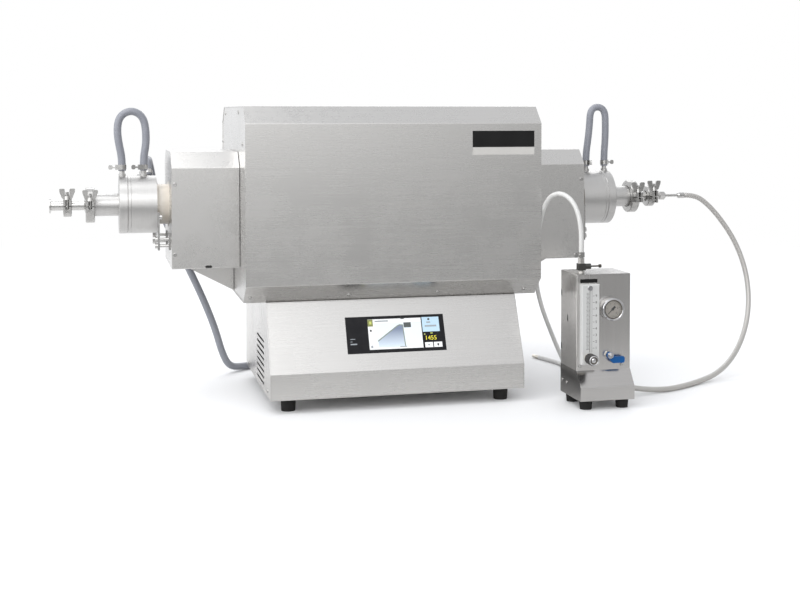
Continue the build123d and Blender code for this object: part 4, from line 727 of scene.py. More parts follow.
class Workshop:
    """Starts, shapes, copies and joins new pieces, and hands them to the frame.

    A piece is shaped about the origin in its own millimetres, and its place is
    put into its mesh at the end.
    """

    def __init__(self, wardrobe: Wardrobe) -> None:
        """Keeps the finishes."""
        self.wardrobe = wardrobe

    @contextmanager
    def shaping(self, piece: bpy.types.Object, pick: Pick, kind: str = "FACE") -> Iterator[None]:
        """Selects by place and stays in edit mode while operators act on the selection.

        Args:
            piece: The mesh to shape.
            pick: Says whether a face, edge or corner is selected, from its middle and direction.
            kind: FACE, EDGE or VERT.

        Yields:
            Nothing; the piece is back in object mode afterwards.
        """
        deselect()
        bpy.context.view_layer.objects.active = piece
        piece.select_set(True)
        bpy.ops.object.mode_set(mode="EDIT")
        bpy.ops.mesh.select_mode(type=kind)
        bpy.ops.mesh.select_all(action="DESELECT")
        bpy.ops.object.mode_set(mode="OBJECT")
        mesh = piece.data
        if kind == "FACE":
            for face in mesh.polygons:
                face.select = pick(face.center, face.normal)
        elif kind == "EDGE":
            for edge in mesh.edges:
                start, end = (mesh.vertices[number].co for number in edge.vertices)
                edge.select = pick((start + end) / 2, (end - start).normalized())
        else:
            for vertex in mesh.vertices:
                vertex.select = pick(vertex.co, vertex.normal)
        bpy.ops.object.mode_set(mode="EDIT")
        yield
        bpy.ops.object.mode_set(mode="OBJECT")

    @staticmethod
    def push(x: float = 0.0, y: float = 0.0, z: float = 0.0) -> None:
        """Extrudes the selected faces or edges by an offset."""
        bpy.ops.mesh.extrude_region_move(TRANSFORM_OT_translate={"value": (x, y, z)})

    @staticmethod
    def soften(piece: bpy.types.Object, width: float, segments: int = 2) -> bpy.types.Object:
        """Rounds the sharp edges with a bevel that is applied.

        Args:
            piece: The mesh.
            width: Width of the bevel.
            segments: Steps of the bevel.

        Returns:
            The piece.
        """
        deselect()
        bpy.context.view_layer.objects.active = piece
        piece.select_set(True)
        bevel = piece.modifiers.new("edge_round", "BEVEL")
        bevel.width, bevel.segments, bevel.limit_method = width, segments, "ANGLE"
        bpy.ops.object.modifier_apply(modifier=bevel.name)
        return piece

    @staticmethod
    def block(size: Place, middle: Place = (0.0, 0.0, 0.0)) -> bpy.types.Object:
        """Starts a piece from a block.

        Args:
            size: Length of its three sides.
            middle: Its middle.

        Returns:
            The mesh object.
        """
        deselect()
        bpy.ops.mesh.primitive_cube_add(size=1.0, location=middle, scale=size)
        return settle(bpy.context.object)

    @staticmethod
    def disc(radius: float, low: float, high: float, sides: int = 32) -> bpy.types.Object:
        """Starts a piece from a disc or prism along its own Z.

        Args:
            radius: Its radius.
            low: Height of its foot.
            high: Height of its top.
            sides: Number of its sides.

        Returns:
            The mesh object.
        """
        deselect()
        bpy.ops.mesh.primitive_cylinder_add(vertices=sides, radius=radius, depth=high - low,
                                            location=(0.0, 0.0, (low + high) / 2))
        return settle(bpy.context.object)

    def turned(self, profile: Sequence[Spot], sides: int = 40) -> bpy.types.Object:
        """Turns a closed profile about the piece's own Z.

        Args:
            profile: Radius and height of each corner, in order round the section.
            sides: Steps of the turn.

        Returns:
            The closed mesh.
        """
        line = self.flat_line(profile, filled=False)
        for vertex in line.data.vertices:
            vertex.co = (vertex.co.x, 0.0, vertex.co.y)
        with self.shaping(line, lambda middle, way: True, "EDGE"):
            bpy.ops.mesh.spin(steps=sides, angle=2 * math.pi, center=(0.0, 0.0, 0.0),
                              axis=(0.0, 0.0, 1.0))
            bpy.ops.mesh.select_all(action="SELECT")
            bpy.ops.mesh.remove_doubles(threshold=0.001)
            bpy.ops.mesh.normals_make_consistent(inside=False)
        deselect()
        bpy.context.view_layer.objects.active = line
        line.select_set(True)
        bpy.ops.object.shade_smooth_by_angle(angle=math.radians(32.0))
        return line

    def painted_ring_shade(self, piece: bpy.types.Object, inner: float, outer: float) -> bpy.types.Object:
        """Paints shade on the faces of a turned piece between two radii, with the dark brass
        finish.

        Args:
            piece: The turned piece.
            inner: Inner radius of the ring.
            outer: Outer radius of the ring.

        Returns:
            The piece.
        """
        # The dark brass finish is laid here as painted shade on the ring.
        piece.data.materials.append(self.wardrobe.materials["dark_brass"])
        for face in piece.data.polygons:
            if inner < face.center.xy.length < outer and face.center.z > 0.01:
                face.material_index = 1
        return piece

    @staticmethod
    def flat_line(outline: Sequence[Spot], depth: float = 0.0,
                  filled: bool = True) -> bpy.types.Object:
        """Draws a closed outline and makes it a mesh.

        Args:
            outline: Corners in the piece's own plane.
            depth: Thickness along its own Z.
            filled: Whether the outline is filled.

        Returns:
            The mesh object.
        """
        deselect()
        curve = bpy.data.curves.new("outline", "CURVE")
        curve.dimensions = "2D" if filled else "3D"
        line = curve.splines.new("POLY")
        line.points.add(len(outline) - 1)
        for point, (x, y) in zip(line.points, outline):
            point.co = (x, y, 0.0, 1.0)
        line.use_cyclic_u = True
        if filled:
            curve.fill_mode = "BOTH"
            curve.extrude = depth / 2
        piece = bpy.data.objects.new("outline", curve)
        bpy.context.scene.collection.objects.link(piece)
        bpy.context.view_layer.objects.active = piece
        piece.select_set(True)
        bpy.ops.object.convert(target="MESH")
        piece = bpy.context.object
        if filled:
            piece.data.transform(Matrix.Translation((0.0, 0.0, depth / 2)))
        return piece

    def card(self, outline: Sequence[Spot], ink: str, low: float,
             depth: float = 0.06) -> bpy.types.Object:
        """Makes a thin card in one ink, its back at a height above the face.

        Args:
            outline: Its corners.
            ink: Name of the finish.
            low: Height of its back above the face.
            depth: Its thickness.

        Returns:
            The dressed mesh object.
        """
        piece = self.flat_line(outline, depth)
        piece.data.transform(Matrix.Translation((0.0, 0.0, low)))
        return self.wardrobe.dress(piece, ink)

    def number(self, text: str, size: float, middle: Spot, ink: str, low: float,
               depth: float = 0.06) -> bpy.types.Object:
        """Makes plain figures as a mesh.

        Args:
            text: The figures.
            size: Their height.
            middle: Place of their middle on the face.
            ink: Name of the finish.
            low: Height of their back above the face.
            depth: Their thickness.

        Returns:
            The mesh object.
        """
        deselect()
        bpy.ops.object.text_add(location=(0.0, 0.0, 0.0))
        piece = bpy.context.object
        piece.data.body = text
        piece.data.size = size * 1.4
        piece.data.align_x = "CENTER"
        piece.data.align_y = "CENTER"
        piece.data.resolution_u = 3
        piece.data.extrude = depth / 2
        bpy.ops.object.convert(target="MESH")
        piece = bpy.context.object
        piece.data.transform(Matrix.Translation((*middle, low + depth / 2)))
        return self.wardrobe.dress(piece, ink)

    @staticmethod
    def copies(master: bpy.types.Object, places: Sequence[Matrix]) -> list[bpy.types.Object]:
        """Copies a master to each place, each copy with its own mesh, and removes the master.

        Args:
            master: The piece to copy.
            places: Place of each copy.

        Returns:
            The copies.
        """
        made = []
        for place in places:
            twin = master.copy()
            twin.data = master.data.copy()
            twin.data.transform(place)
            bpy.context.scene.collection.objects.link(twin)
            made.append(twin)
        bpy.data.objects.remove(master)
        return made

    @staticmethod
    def joined(pieces: Sequence[bpy.types.Object]) -> bpy.types.Object:
        """Joins pieces into one.

        Args:
            pieces: The pieces.

        Returns:
            The one piece, which was the first.
        """
        deselect()
        for piece in pieces:
            piece.select_set(True)
        bpy.context.view_layer.objects.active = pieces[0]
        if len(pieces) > 1:
            bpy.ops.object.join()
        return bpy.context.view_layer.objects.active

    def hand_over(self, piece: bpy.types.Object, name: str, body: str, slot: str,
                  place: Matrix | None = None, nodes: Sequence[str] = ()) -> None:
        """Puts a finished piece in its place and on its body.

        Args:
            piece: The dressed piece.
            name: Its name.
            body: The body that it moves with.
            slot: Its slot; not used.
            place: Its place, where it isn't in its mesh yet.
            nodes: The nodes that it stands for.
        """
        if place is not None:
            piece.data.transform(place)
        piece.name = piece.data.name = name
        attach(piece, body)
        if nodes:
            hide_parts(*nodes)
        LOG.info("piece %s on %s", name, body)


# ----------------------------------------------------------------------- hoses
@dataclass(frozen=True)
class HoseRoute:
    """A free hose: its route's points, its size and what is on it."""

    name: str
    points: Sequence[Place]
    radius: float
    length: float
    finish: str
    slot: str
    far_end: str = "object"
    stiffness: str = "medium"
    lay: str = "loose"
    carried: tuple[str, ...] = ()
    mapped: bool = False


LOOP_LEFT = [
    (-513, 0, 452), (-513, 0, 478), (-519, 0, 506), (-522, 0, 531), (-519.5, 1, 553),
    (-510, 1, 566), (-494.5, 1, 571.5), (-479, 1, 566), (-469.5, 1, 553), (-466, 0, 531),
    (-466, 0, 505), (-471, 0, 478), (-471, 0, 452),
]
LOOP_RIGHT = [
    (471, 0, 452), (471, 0, 478), (475.5, 0, 508), (479, 0, 540), (480.5, 0, 569),
    (490.5, 1, 579.5), (505, 1, 579.5), (515, 0, 569), (516, 0, 540), (515.5, 0, 508),
    (513, 0, 478), (513, 0, 452),
]
WATER_HOSE = [
    (-460, 38.7, 439.8), (-460, 53.6, 461.1), (-459.5, 66, 470), (-458, 83.5, 471.5),
    (-455.5, 99, 463.5), (-452, 109, 449), (-447, 116.5, 423), (-438, 123.5, 387), (-423, 130, 342),
    (-398, 133, 288), (-370, 134, 230),
    (-342, 136, 168), (-318, 142, 106), (-302, 158, 50), (-284, 184, 14), (-250, 214, 7.5),
    (-200, 240, 7.5), (-135, 262, 7.5), (-62, 271, 7.5), (15, 264, 7.5), (88, 272, 7.5),
    (155, 260, 7.5), (214, 234, 7.5), (260, 204, 8), (290, 176, 19), (304, 154, 62),
    (314, 142, 120), (335, 136, 182), (366, 134, 240), (398, 133, 296), (423, 130, 346),
    (438, 124, 389), (447, 117, 424), (452, 109.5, 449.5), (455.5, 99, 464), (458, 83.5, 472),
    (459.5, 66, 470.3), (460, 53.6, 461.1), (460, 38.7, 439.8),
]
GAS_HOSE = [
    (702, 0, 384.5), (730, 0, 384.5), (760, -2, 364), (792, -6, 328), (823, -12, 280),
    (842, -22, 224), (845, -36, 168), (831, -58, 114), (800, -86, 66), (757, -116, 30),
    (708, -146, 11), (655, -178, 6), (606, -210, 5.5), (557, -233, 5.5), (508, -238, 9),
    (470, -231, 15), (440, -231, 15),
]
SUPPLY_HOSE = [
    (345, -300, 286), (345, -300, 312), (345, -299, 342), (341, -293, 375), (331, -279, 401),
    (316, -259, 411), (304, -235, 403), (299, -210, 377), (298.5, -188, 340), (299, -170, 296),
    (301, -157, 250), (309, -146, 208), (324, -131, 168), (344, -111, 131), (368, -84, 92),
    (395, -50, 52), (423, -8, 18), (442, 38, 5), (446, 84, 4.5), (436, 128, 4.5), (424, 168, 4.5),
]


class Hoses:
    """The free hoses, each on one smooth line."""

    ROUTES = (
        HoseRoute("loop_hose_left_smooth", LOOP_LEFT, 7.5, 0.266, "water_rubber", "grey_hose"),
        HoseRoute("loop_hose_right_smooth", LOOP_RIGHT, 7.5, 0.275, "water_rubber", "grey_hose"),
        HoseRoute("water_hose_smooth", WATER_HOSE, 7.5, 1.755, "water_rubber", "grey_hose"),
        HoseRoute("gas_hose_braided", GAS_HOSE, 5.5, 0.82, "wire_braid", "braided_hose",
                  stiffness="stiff", carried=("gas_hose_fitting",), mapped=True),
        HoseRoute("supply_hose_clear", SUPPLY_HOSE, 4.5, 0.835, "yarn_braid", "clear_hose",
                  far_end="connector", carried=("supply_coupling",), mapped=True),
    )
    NODES = ("loop_hose_left", "loop_hose_right", "water_hose", "gas_hose", "supply_hose")

    def __init__(self, frame: dict, wardrobe: Wardrobe) -> None:
        """Keeps the loaded frame and the finishes."""
        self.frame = frame
        self.wardrobe = wardrobe

    @staticmethod
    def spline(name: str, points: Sequence[Place], radius: float) -> bpy.types.Object:
        """Makes a round hose as a curve of one open spline.

        Args:
            name: Name of the piece.
            points: The route's points, in the furnace frame.
            radius: Radius of the hose, 0 for the bare line.

        Returns:
            The curve object.
        """
        curve = bpy.data.curves.new(name, "CURVE")
        curve.dimensions = "3D"
        line = curve.splines.new("NURBS")
        line.points.add(len(points) - 1)
        for point, place in zip(line.points, points):
            point.co = (*row(*place), 1.0)
        line.order_u = 3
        line.use_endpoint_u = True
        line.resolution_u = 8
        curve.bevel_depth = radius * MM
        curve.bevel_resolution = 6
        curve.use_fill_caps = True
        piece = bpy.data.objects.new(name, curve)
        bpy.context.scene.collection.objects.link(piece)
        return piece

    def mesh_tube(self, route: HoseRoute) -> tuple[bpy.types.Object, list[Vector]]:
        """Makes a hose as a mesh whose map runs along and round it.

        Args:
            route: The hose.

        Returns:
            The mesh object and the points it follows.
        """
        line = self.spline(f"{route.name}_line", route.points, 0.0)
        graph = bpy.context.evaluated_depsgraph_get()
        drawn = bpy.data.meshes.new_from_object(line.evaluated_get(graph))
        path = [vertex.co.copy() for vertex in drawn.vertices]
        bpy.data.objects.remove(line)
        sides = 20
        along = [0.0]
        for before, after in zip(path, path[1:]):
            along.append(along[-1] + (after - before).length)
        side = (path[1] - path[0]).orthogonal().normalized()
        vertices: list[Vector] = []
        for number, point in enumerate(path):
            ahead = path[min(number + 1, len(path) - 1)] - path[max(number - 1, 0)]
            ahead.normalize()
            side = (side - side.dot(ahead) * ahead).normalized()
            up = ahead.cross(side)
            for step in range(sides):
                turn = 2 * math.pi * step / sides
                around = side * math.cos(turn) + up * math.sin(turn)
                vertices.append(point + around * route.radius * MM)
        faces: list[list[int]] = []
        maps: list[list[tuple[float, float]]] = []
        for number in range(len(path) - 1):
            low, high = number * sides, (number + 1) * sides
            for step in range(sides):
                after = (step + 1) % sides
                faces.append([low + step, low + after, high + after, high + step])
                left, right = step / sides, (step + 1) / sides
                near, far = along[number] / along[-1], along[number + 1] / along[-1]
                maps.append([(near, left), (near, right), (far, right), (far, left)])
        end = (len(path) - 1) * sides
        faces += [list(range(sides))[::-1], list(range(end, end + sides))]
        maps += [[(0.0, 0.0)] * sides, [(1.0, 0.0)] * sides]
        mesh = bpy.data.meshes.new(route.name)
        mesh.from_pydata([tuple(v) for v in vertices], [], faces)
        layer = mesh.uv_layers.new(name="UVMap")
        for face, corners in zip(mesh.polygons, maps):
            face.use_smooth = len(corners) == 4
            for loop, place in zip(face.loop_indices, corners):
                layer.data[loop].uv = place
        piece = bpy.data.objects.new(route.name, mesh)
        bpy.context.scene.collection.objects.link(piece)
        return piece, path

    def build(self) -> None:
        for route, node in zip(self.ROUTES, self.NODES):
            path = None
            if route.mapped:
                piece, path = self.mesh_tube(route)
            else:
                piece = self.spline(route.name, route.points, route.radius)
            self.wardrobe.dress(piece, route.finish)
            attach(piece, "furnace")
            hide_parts(node)
            LOG.info("hose %s", route.name)


# ------------------------------------------------------------ added fittings
def rectangle(left: float, bottom: float, right: float, top: float) -> list[Spot]:
    """Gives the corners of an upright rectangle."""
    return [(left, bottom), (right, bottom), (right, top), (left, top)]


@dataclass(frozen=True)
class Fixings:
    """Cross-head screws and pressed slots of the sheet covers."""

    shop: Workshop
    head_radius: float = 3.4
    head_height: float = 1.5
    head_round: float = 0.5
    recess: float = 0.8
    slot_width: float = 5.0
    slot_length: float = 13.0
    slot_rim: float = 0.4
    slot_sunk: float = 0.15
    casing_half: float = 292.0
    seam_points: tuple[Spot, ...] = ((155, 566), (-95, 568), (212, 506), (-157, 507))
    under_row: tuple[float, ...] = (-282.0, -91.0, 87.0, 266.0)
    under_place: Spot = (-188.0, 215.0)
    under_out: Place = (0.0, -0.664, -0.748)
    base_half: float = 250.5
    base_screws: tuple[Spot, ...] = ((-196.0, 38.0), (96.0, 38.0))
    box_front: float = -114.0
    box_columns: Spot = (-417.0, 417.0)
    box_rows: Spot = (293.0, 429.0)
    box_slot: Spot = (-353.0, 268.5)
    gas_left: float = 325.0
    gas_right: float = 435.0
    gas_front: float = -331.0
    gas_columns: Spot = (332.0, 417.0)
    gas_front_height: float = 81.5
    gas_base_screws: tuple[Spot, ...] = ((-252.0, 42.0), (-276.0, 41.0))
    gas_screw_share: float = 0.75
    gas_slots: tuple[Spot, ...] = ((-281.0, 168.0), (-247.0, 214.0), (-247.0, 109.0))

    def screw(self) -> bpy.types.Object:
        """Models one low pan head with its cross recess, seated at height 0.

        Returns:
            The dressed mesh object.
        """
        radius, high = self.head_radius, self.head_height
        deselect()
        bpy.ops.mesh.primitive_grid_add(x_subdivisions=5, y_subdivisions=5, size=2 * radius,
                                        location=(0.0, 0.0, high))
        head = settle(bpy.context.object)
        arm, reach = radius * 0.3, radius * 0.7
        with self.shop.shaping(head, lambda mid, way: min(abs(mid.x), abs(mid.y)) < arm
                               and max(abs(mid.x), abs(mid.y)) < reach):
            self.shop.push(z=-self.recess)
        with self.shop.shaping(head, lambda mid, way: max(abs(mid.x), abs(mid.y)) > radius * 0.99,
                               "EDGE"):
            bpy.ops.transform.tosphere(value=1.0)
            self.shop.push(z=-high)
            bpy.ops.mesh.edge_face_add()
        with self.shop.shaping(head, lambda mid, way: mid.xy.length > radius * 0.9
                               and abs(mid.z - high) < 0.01, "EDGE"):
            bpy.ops.mesh.bevel(offset=self.head_round, segments=2)
        return self.shop.wardrobe.dress(head, "plated_steel")

    def slot(self) -> bpy.types.Object:
        """Models one pressed slot: a thin rim round a sunk middle in painted shade, where the
        opening looks dark.

        Returns:
            The dressed mesh object.
        """
        half = (self.slot_length - self.slot_width) / 2
        rim = self.shop.disc(self.slot_width / 2 + self.slot_rim, -0.2, 0.25, 24)
        with self.shop.shaping(rim, lambda mid, way: mid.y > 0.01, "VERT"):
            bpy.ops.transform.translate(value=(0.0, half, 0.0))
        with self.shop.shaping(rim, lambda mid, way: mid.y < 0.01, "VERT"):
            bpy.ops.transform.translate(value=(0.0, -half, 0.0))
        self.shop.wardrobe.dress(rim, "gas_unit_sheet")
        rim.data.materials.append(self.shop.wardrobe.materials["shadow_gap"])
        with self.shop.shaping(rim, lambda mid, way: way.z > 0.9):
            bpy.ops.mesh.inset(thickness=self.slot_rim)
            self.shop.push(z=-self.slot_sunk)
        # The sunk middle gets the shadow_gap finish: painted shade for the open slot.
        for face in rim.data.polygons:
            if face.normal.z > 0.9 and face.center.z < 0.2 and face.center.xy.length < 1.0:
                face.material_index = 1
        return rim

    def build(self) -> None:
        """Makes the screws of each cover, and the slots of gas unit and side box."""
        left, right = (-1.0, 0.0, 0.0), (1.0, 0.0, 0.0)
        ends = ((-1.0, left), (1.0, right))
        casing = [on_face((x, *self.under_place), self.under_out) for x in self.under_row]
        casing += [on_face((side * self.casing_half, *spot), out)
                   for side, out in ends for spot in self.seam_points]
        casing += [on_face((x, self.box_front, z)) for x in self.box_columns for z in self.box_rows]
        casing += [on_face((side * self.base_half, *spot), out)
                   for side, out in ends for spot in self.base_screws]
        made = self.shop.copies(self.screw(), casing)
        self.shop.hand_over(self.shop.joined(made), "casing_screws", "furnace", "plated_steel")
        gas = [on_face((x, self.gas_front, self.gas_front_height)) for x in self.gas_columns]
        gas += [on_face((x, *spot), out)
                for x, out in ((self.gas_left, left), (self.gas_right, right))
                for spot in self.gas_base_screws]
        smaller = Matrix.Scale(self.gas_screw_share, 4)
        made = self.shop.copies(self.screw(), [place @ smaller for place in gas])
        self.shop.hand_over(self.shop.joined(made), "gas_unit_screws", "furnace", "plated_steel")
        slots = [on_face((self.gas_left, *spot), left) for spot in self.gas_slots]
        across, up = self.box_slot
        slots.append(on_face((across, self.box_front, up), up=right))
        made = self.shop.copies(self.slot(), slots)
        self.shop.hand_over(self.shop.joined(made), "pressed_slots", "furnace", "gas_unit_steel")


@dataclass(frozen=True)
class Plates:
    """Bare name plates on the casing and the gas unit."""

    shop: Workshop
    thickness: float = 0.8
    border: float = 0.9
    sunk: float = 0.2
    edge_round: float = 0.15
    casing_front: float = -215.0
    casing_span: tuple[float, float] = (151.0, 278.0)
    casing_rise: tuple[float, float, float] = (485.0, 500.0, 532.0)
    gas_front: float = -331.0
    gas_span: tuple[float, float] = (332.0, 366.0)
    gas_rise: tuple[float, float] = (242.0, 249.0)

    def plate(self, width: float, height: float, ink: str) -> bpy.types.Object:
        """Models one bare plate with eased edges and a raised border, its back at height 0.

        Args:
            width: Its width.
            height: Its height.
            ink: Name of the finish.

        Returns:
            The dressed mesh object.
        """
        piece = self.shop.block((width, height, self.thickness), (0.0, 0.0, self.thickness / 2))
        with self.shop.shaping(piece, lambda mid, way: way.z > 0.9):
            bpy.ops.mesh.inset(thickness=self.border)
            self.shop.push(z=-self.sunk)
        self.shop.soften(piece, self.edge_round)
        return self.shop.wardrobe.dress(piece, ink)

    def build(self) -> None:
        """Makes the two plates."""
        (left, right), (foot, seam, top) = self.casing_span, self.casing_rise
        dark = self.plate(right - left, top - seam, "plate_black")
        dark.data.transform(Matrix.Translation((0.0, (top - seam) / 2, 0.0)))
        pale = self.plate(right - left, seam - foot, "plate_grey")
        pale.data.transform(Matrix.Translation((0.0, (foot - seam) / 2, 0.0)))
        plate = self.shop.joined([dark, pale])
        self.shop.hand_over(plate, "casing_blank_plate", "furnace", "black_plastic",
                            on_face(((left + right) / 2, self.casing_front, seam)))
        (left, right), (foot, top) = self.gas_span, self.gas_rise
        plate = self.plate(right - left, top - foot, "plate_black")
        self.shop.hand_over(plate, "gas_unit_blank_plate", "furnace", "black_plastic",
                            on_face(((left + right) / 2, self.gas_front, (foot + top) / 2)))


@dataclass(frozen=True)
class ScreenPicture:
    """What the touch display shows: a programme curve, a reading and plain keys."""

    shop: Workshop
    size: Spot = (196.0, 73.0)
    middle: Place = (-2.0, -208.9, 138.5)
    proud: float = 1.2
    out: Place = (0.0, -128.5, 61.0)
    layer: float = 0.05
    # Left, top, right and bottom as shares of width and height, ink and layer of each area.
    AREAS: ClassVar = (
        (0.222, 0.085, 0.765, 0.91, "screen_white", 0),
        (0.285, 0.2, 0.76, 0.86, "screen_pale", 1),
        (0.222, 0.09, 0.275, 0.28, "screen_olive", 1),
        (0.238, 0.14, 0.262, 0.22, "screen_lime", 2),
        (0.238, 0.37, 0.258, 0.42, "screen_black", 1),
        (0.238, 0.8, 0.258, 0.87, "screen_grey", 1),
        (0.295, 0.125, 0.43, 0.16, "screen_grey", 1),
        (0.56, 0.075, 0.595, 0.105, "screen_black", 1),
        (0.585, 0.2, 0.66, 0.34, "screen_slate", 2),
        (0.53, 0.845, 0.6, 0.87, "screen_grey", 3),
        (0.775, 0.075, 0.95, 0.48, "screen_blue", 0),
        (0.835, 0.11, 0.855, 0.16, "screen_black", 1),
        (0.82, 0.2, 0.86, 0.24, "screen_grey", 1),
        (0.8, 0.3, 0.92, 0.345, "screen_grey", 1),
        (0.035, 0.6, 0.085, 0.615, "screen_grey", 1),
        (0.035, 0.67, 0.055, 0.685, "screen_grey", 1),
        (0.035, 0.73, 0.1, 0.76, "screen_grey", 1),
        (0.785, 0.77, 0.865, 0.91, "screen_white", 0),
        (0.875, 0.77, 0.96, 0.91, "screen_white", 0),
        (0.815, 0.82, 0.835, 0.86, "screen_grey", 1),
        (0.91, 0.81, 0.928, 0.87, "screen_black", 1),
        (0.785, 0.53, 0.797, 0.56, "screen_lime", 0),
        (0.85, 0.51, 0.875, 0.535, "screen_lime", 0),
    )
    RAMP: ClassVar = ((0.315, 0.69), (0.52, 0.3), (0.545, 0.27), (0.575, 0.28), (0.58, 0.86),
                      (0.32, 0.86))
    TOP_LINE: ClassVar = ((0.31, 0.67), (0.52, 0.27), (0.545, 0.245), (0.58, 0.255), (0.59, 0.84),
                          (0.58, 0.84), (0.572, 0.285), (0.545, 0.275), (0.522, 0.3), (0.313, 0.7))

    def spot(self, across: float, down: float) -> Spot:
        """Turns shares of the width and height, from the top left, into a place."""
        width, height = self.size
        return (across - 0.5) * width, (0.5 - down) * height

    def area(self, left: float, top: float, right: float, bottom: float, ink: str,
             level: int) -> bpy.types.Object:
        """Makes a rectangle of the picture, from shares of the width and height.

        Args:
            left: Share of the width at its left edge.
            top: Share of the height at its top edge.
            right: Share of the width at its right edge.
            bottom: Share of the height at its bottom edge.
            ink: Name of the finish.
            level: Its layer, from 0.

        Returns:
            The dressed mesh object.
        """
        (x_low, y_high), (x_high, y_low) = self.spot(left, top), self.spot(right, bottom)
        return self.shop.card(rectangle(x_low, y_low, x_high, y_high), ink,
                              self.proud + self.layer * level, self.layer)

    def curve(self) -> list[bpy.types.Object]:
        """Makes the ramp of the programme and the line along its top.

        Returns:
            The two cards.
        """
        return [self.shop.card([self.spot(*corner) for corner in outline], ink,
                               self.proud + self.layer * level, self.layer)
                for outline, ink, level in ((self.RAMP, "screen_ramp", 2),
                                            (self.TOP_LINE, "screen_line", 3))]

    def build(self) -> None:
        """Makes the picture in thin layers and hands it over."""
        parts = [self.area(*area) for area in self.AREAS]
        parts.append(self.shop.number("1455", 8.6, self.spot(0.85, 0.655), "screen_yellow",
                                      self.proud, self.layer))
        picture = self.shop.joined(parts + self.curve())
        self.shop.hand_over(picture, "display_picture", "furnace", "display_glass",
                            on_face(self.middle, self.out, (0.0, 61.0, 128.5)))


@dataclass(frozen=True)
class FlowScale:
    """Marks, figures, the painted shadow of the tube with a dark line beside it, end plug of the
    flow meter, and its knob's trim.
    """

    shop: Workshop
    front: float = -342.0
    bore_x: float = 347.0
    low: float = 112.0
    high: float = 228.0
    fine_step: float = 2.5
    figure_step: float = 12.5
    knob: Place = (345.0, -368.3, 99.0)

    def marks(self) -> bpy.types.Object:
        """Makes the fine marks, the long marks, the figures, the painted shadow of the tube and a
        dark line beside it.

        Returns:
            The dressed mesh object.
        """
        middle = (self.low + self.high) / 2
        parts = []
        master = self.shop.card(rectangle(-2.4, -0.32, 2.4, 0.32), "mark_ink", 0.0)
        steps = int((self.high - self.low - 8) / self.fine_step)
        places = [Matrix.Translation((-4.4, self.low + 4 + n * self.fine_step - middle, 0.0))
                  @ Matrix.Scale(1.35 if n % 5 == 0 else 1.0, 4, (1.0, 0.0, 0.0))
                  for n in range(steps + 1)]
        parts += self.shop.copies(master, places)
        for n in range(9):
            up = self.low + 6 + n * self.figure_step - middle
            parts.append(self.shop.card(rectangle(6.0, up - 0.35, 9.4, up + 0.35), "mark_ink", 0.0))
            parts.append(self.shop.number(str(n + 1), 5.0, (12.8, up), "mark_ink", 0.0))
        reach = (self.high - self.low) / 2 + 2
        # Painted shadow of the tube down the middle of the scale.
        parts.append(self.shop.card(rectangle(-0.9, -reach, 0.6, reach), "tube_shadow", 0.0))
        parts.append(self.shop.card(rectangle(3.8, -reach, 4.3, reach), "mark_ink", 0.0))
        scale = self.shop.joined(parts)
        scale.data.transform(on_face((self.bore_x, self.front, middle)))
        return scale

    def end_plug(self) -> bpy.types.Object:
        """Models the screwed plug at the top of the tube.

        Returns:
            The dressed mesh object.
        """
        plug = self.shop.turned([(0.0, 0.0), (5.2, 0.0), (5.2, 1.4), (4.4, 2.0), (2.4, 2.0),
                                 (2.0, 1.0), (0.0, 1.0)], 24)
        return self.shop.wardrobe.dress(plug, "chrome")

    def cap(self) -> bpy.types.Object:
        """Models the bright cap of the knob, dished round a raised middle, with painted shade in
        the dish.

        Returns:
            The dressed mesh object.
        """
        profile = [(0.0, 0.0), (9.1, 0.0), (9.4, 0.5), (9.1, 1.5), (8.2, 1.9), (7.2, 1.6),
                   (6.2, 0.9), (4.6, 0.8), (3.6, 1.5), (2.6, 1.9), (0.0, 2.0)]
        cap = self.shop.wardrobe.dress(self.shop.turned(profile, 48), "chrome")
        # Painted shade in the dish of the cap.
        return self.shop.painted_ring_shade(cap, 4.7, 6.9)

    def collar(self) -> bpy.types.Object:
        """Models the ring between the block and the knob."""
        profile = [(8.05, 0.05), (8.9, 0.05), (9.3, 0.6), (9.3, 3.6), (8.8, 4.4), (8.05, 4.4)]
        return self.shop.wardrobe.dress(self.shop.turned(profile, 40), "plated_brass")

    def build(self) -> None:
        """Makes the scale, the plug and the knob's trim."""
        self.shop.hand_over(self.marks(), "flow_scale", "furnace", "clear_acrylic")
        self.shop.hand_over(self.end_plug(), "flow_tube_plug", "furnace", "plated_steel",
                            on_face((self.bore_x, self.front, self.high + 5)))
        self.shop.hand_over(self.cap(), "knob_cap", "knob", "plated_steel", on_face(self.knob))
        x, _, z = self.knob
        self.shop.hand_over(self.collar(), "knob_collar", "furnace", "plated_brass",
                            on_face((x, self.front, z)))


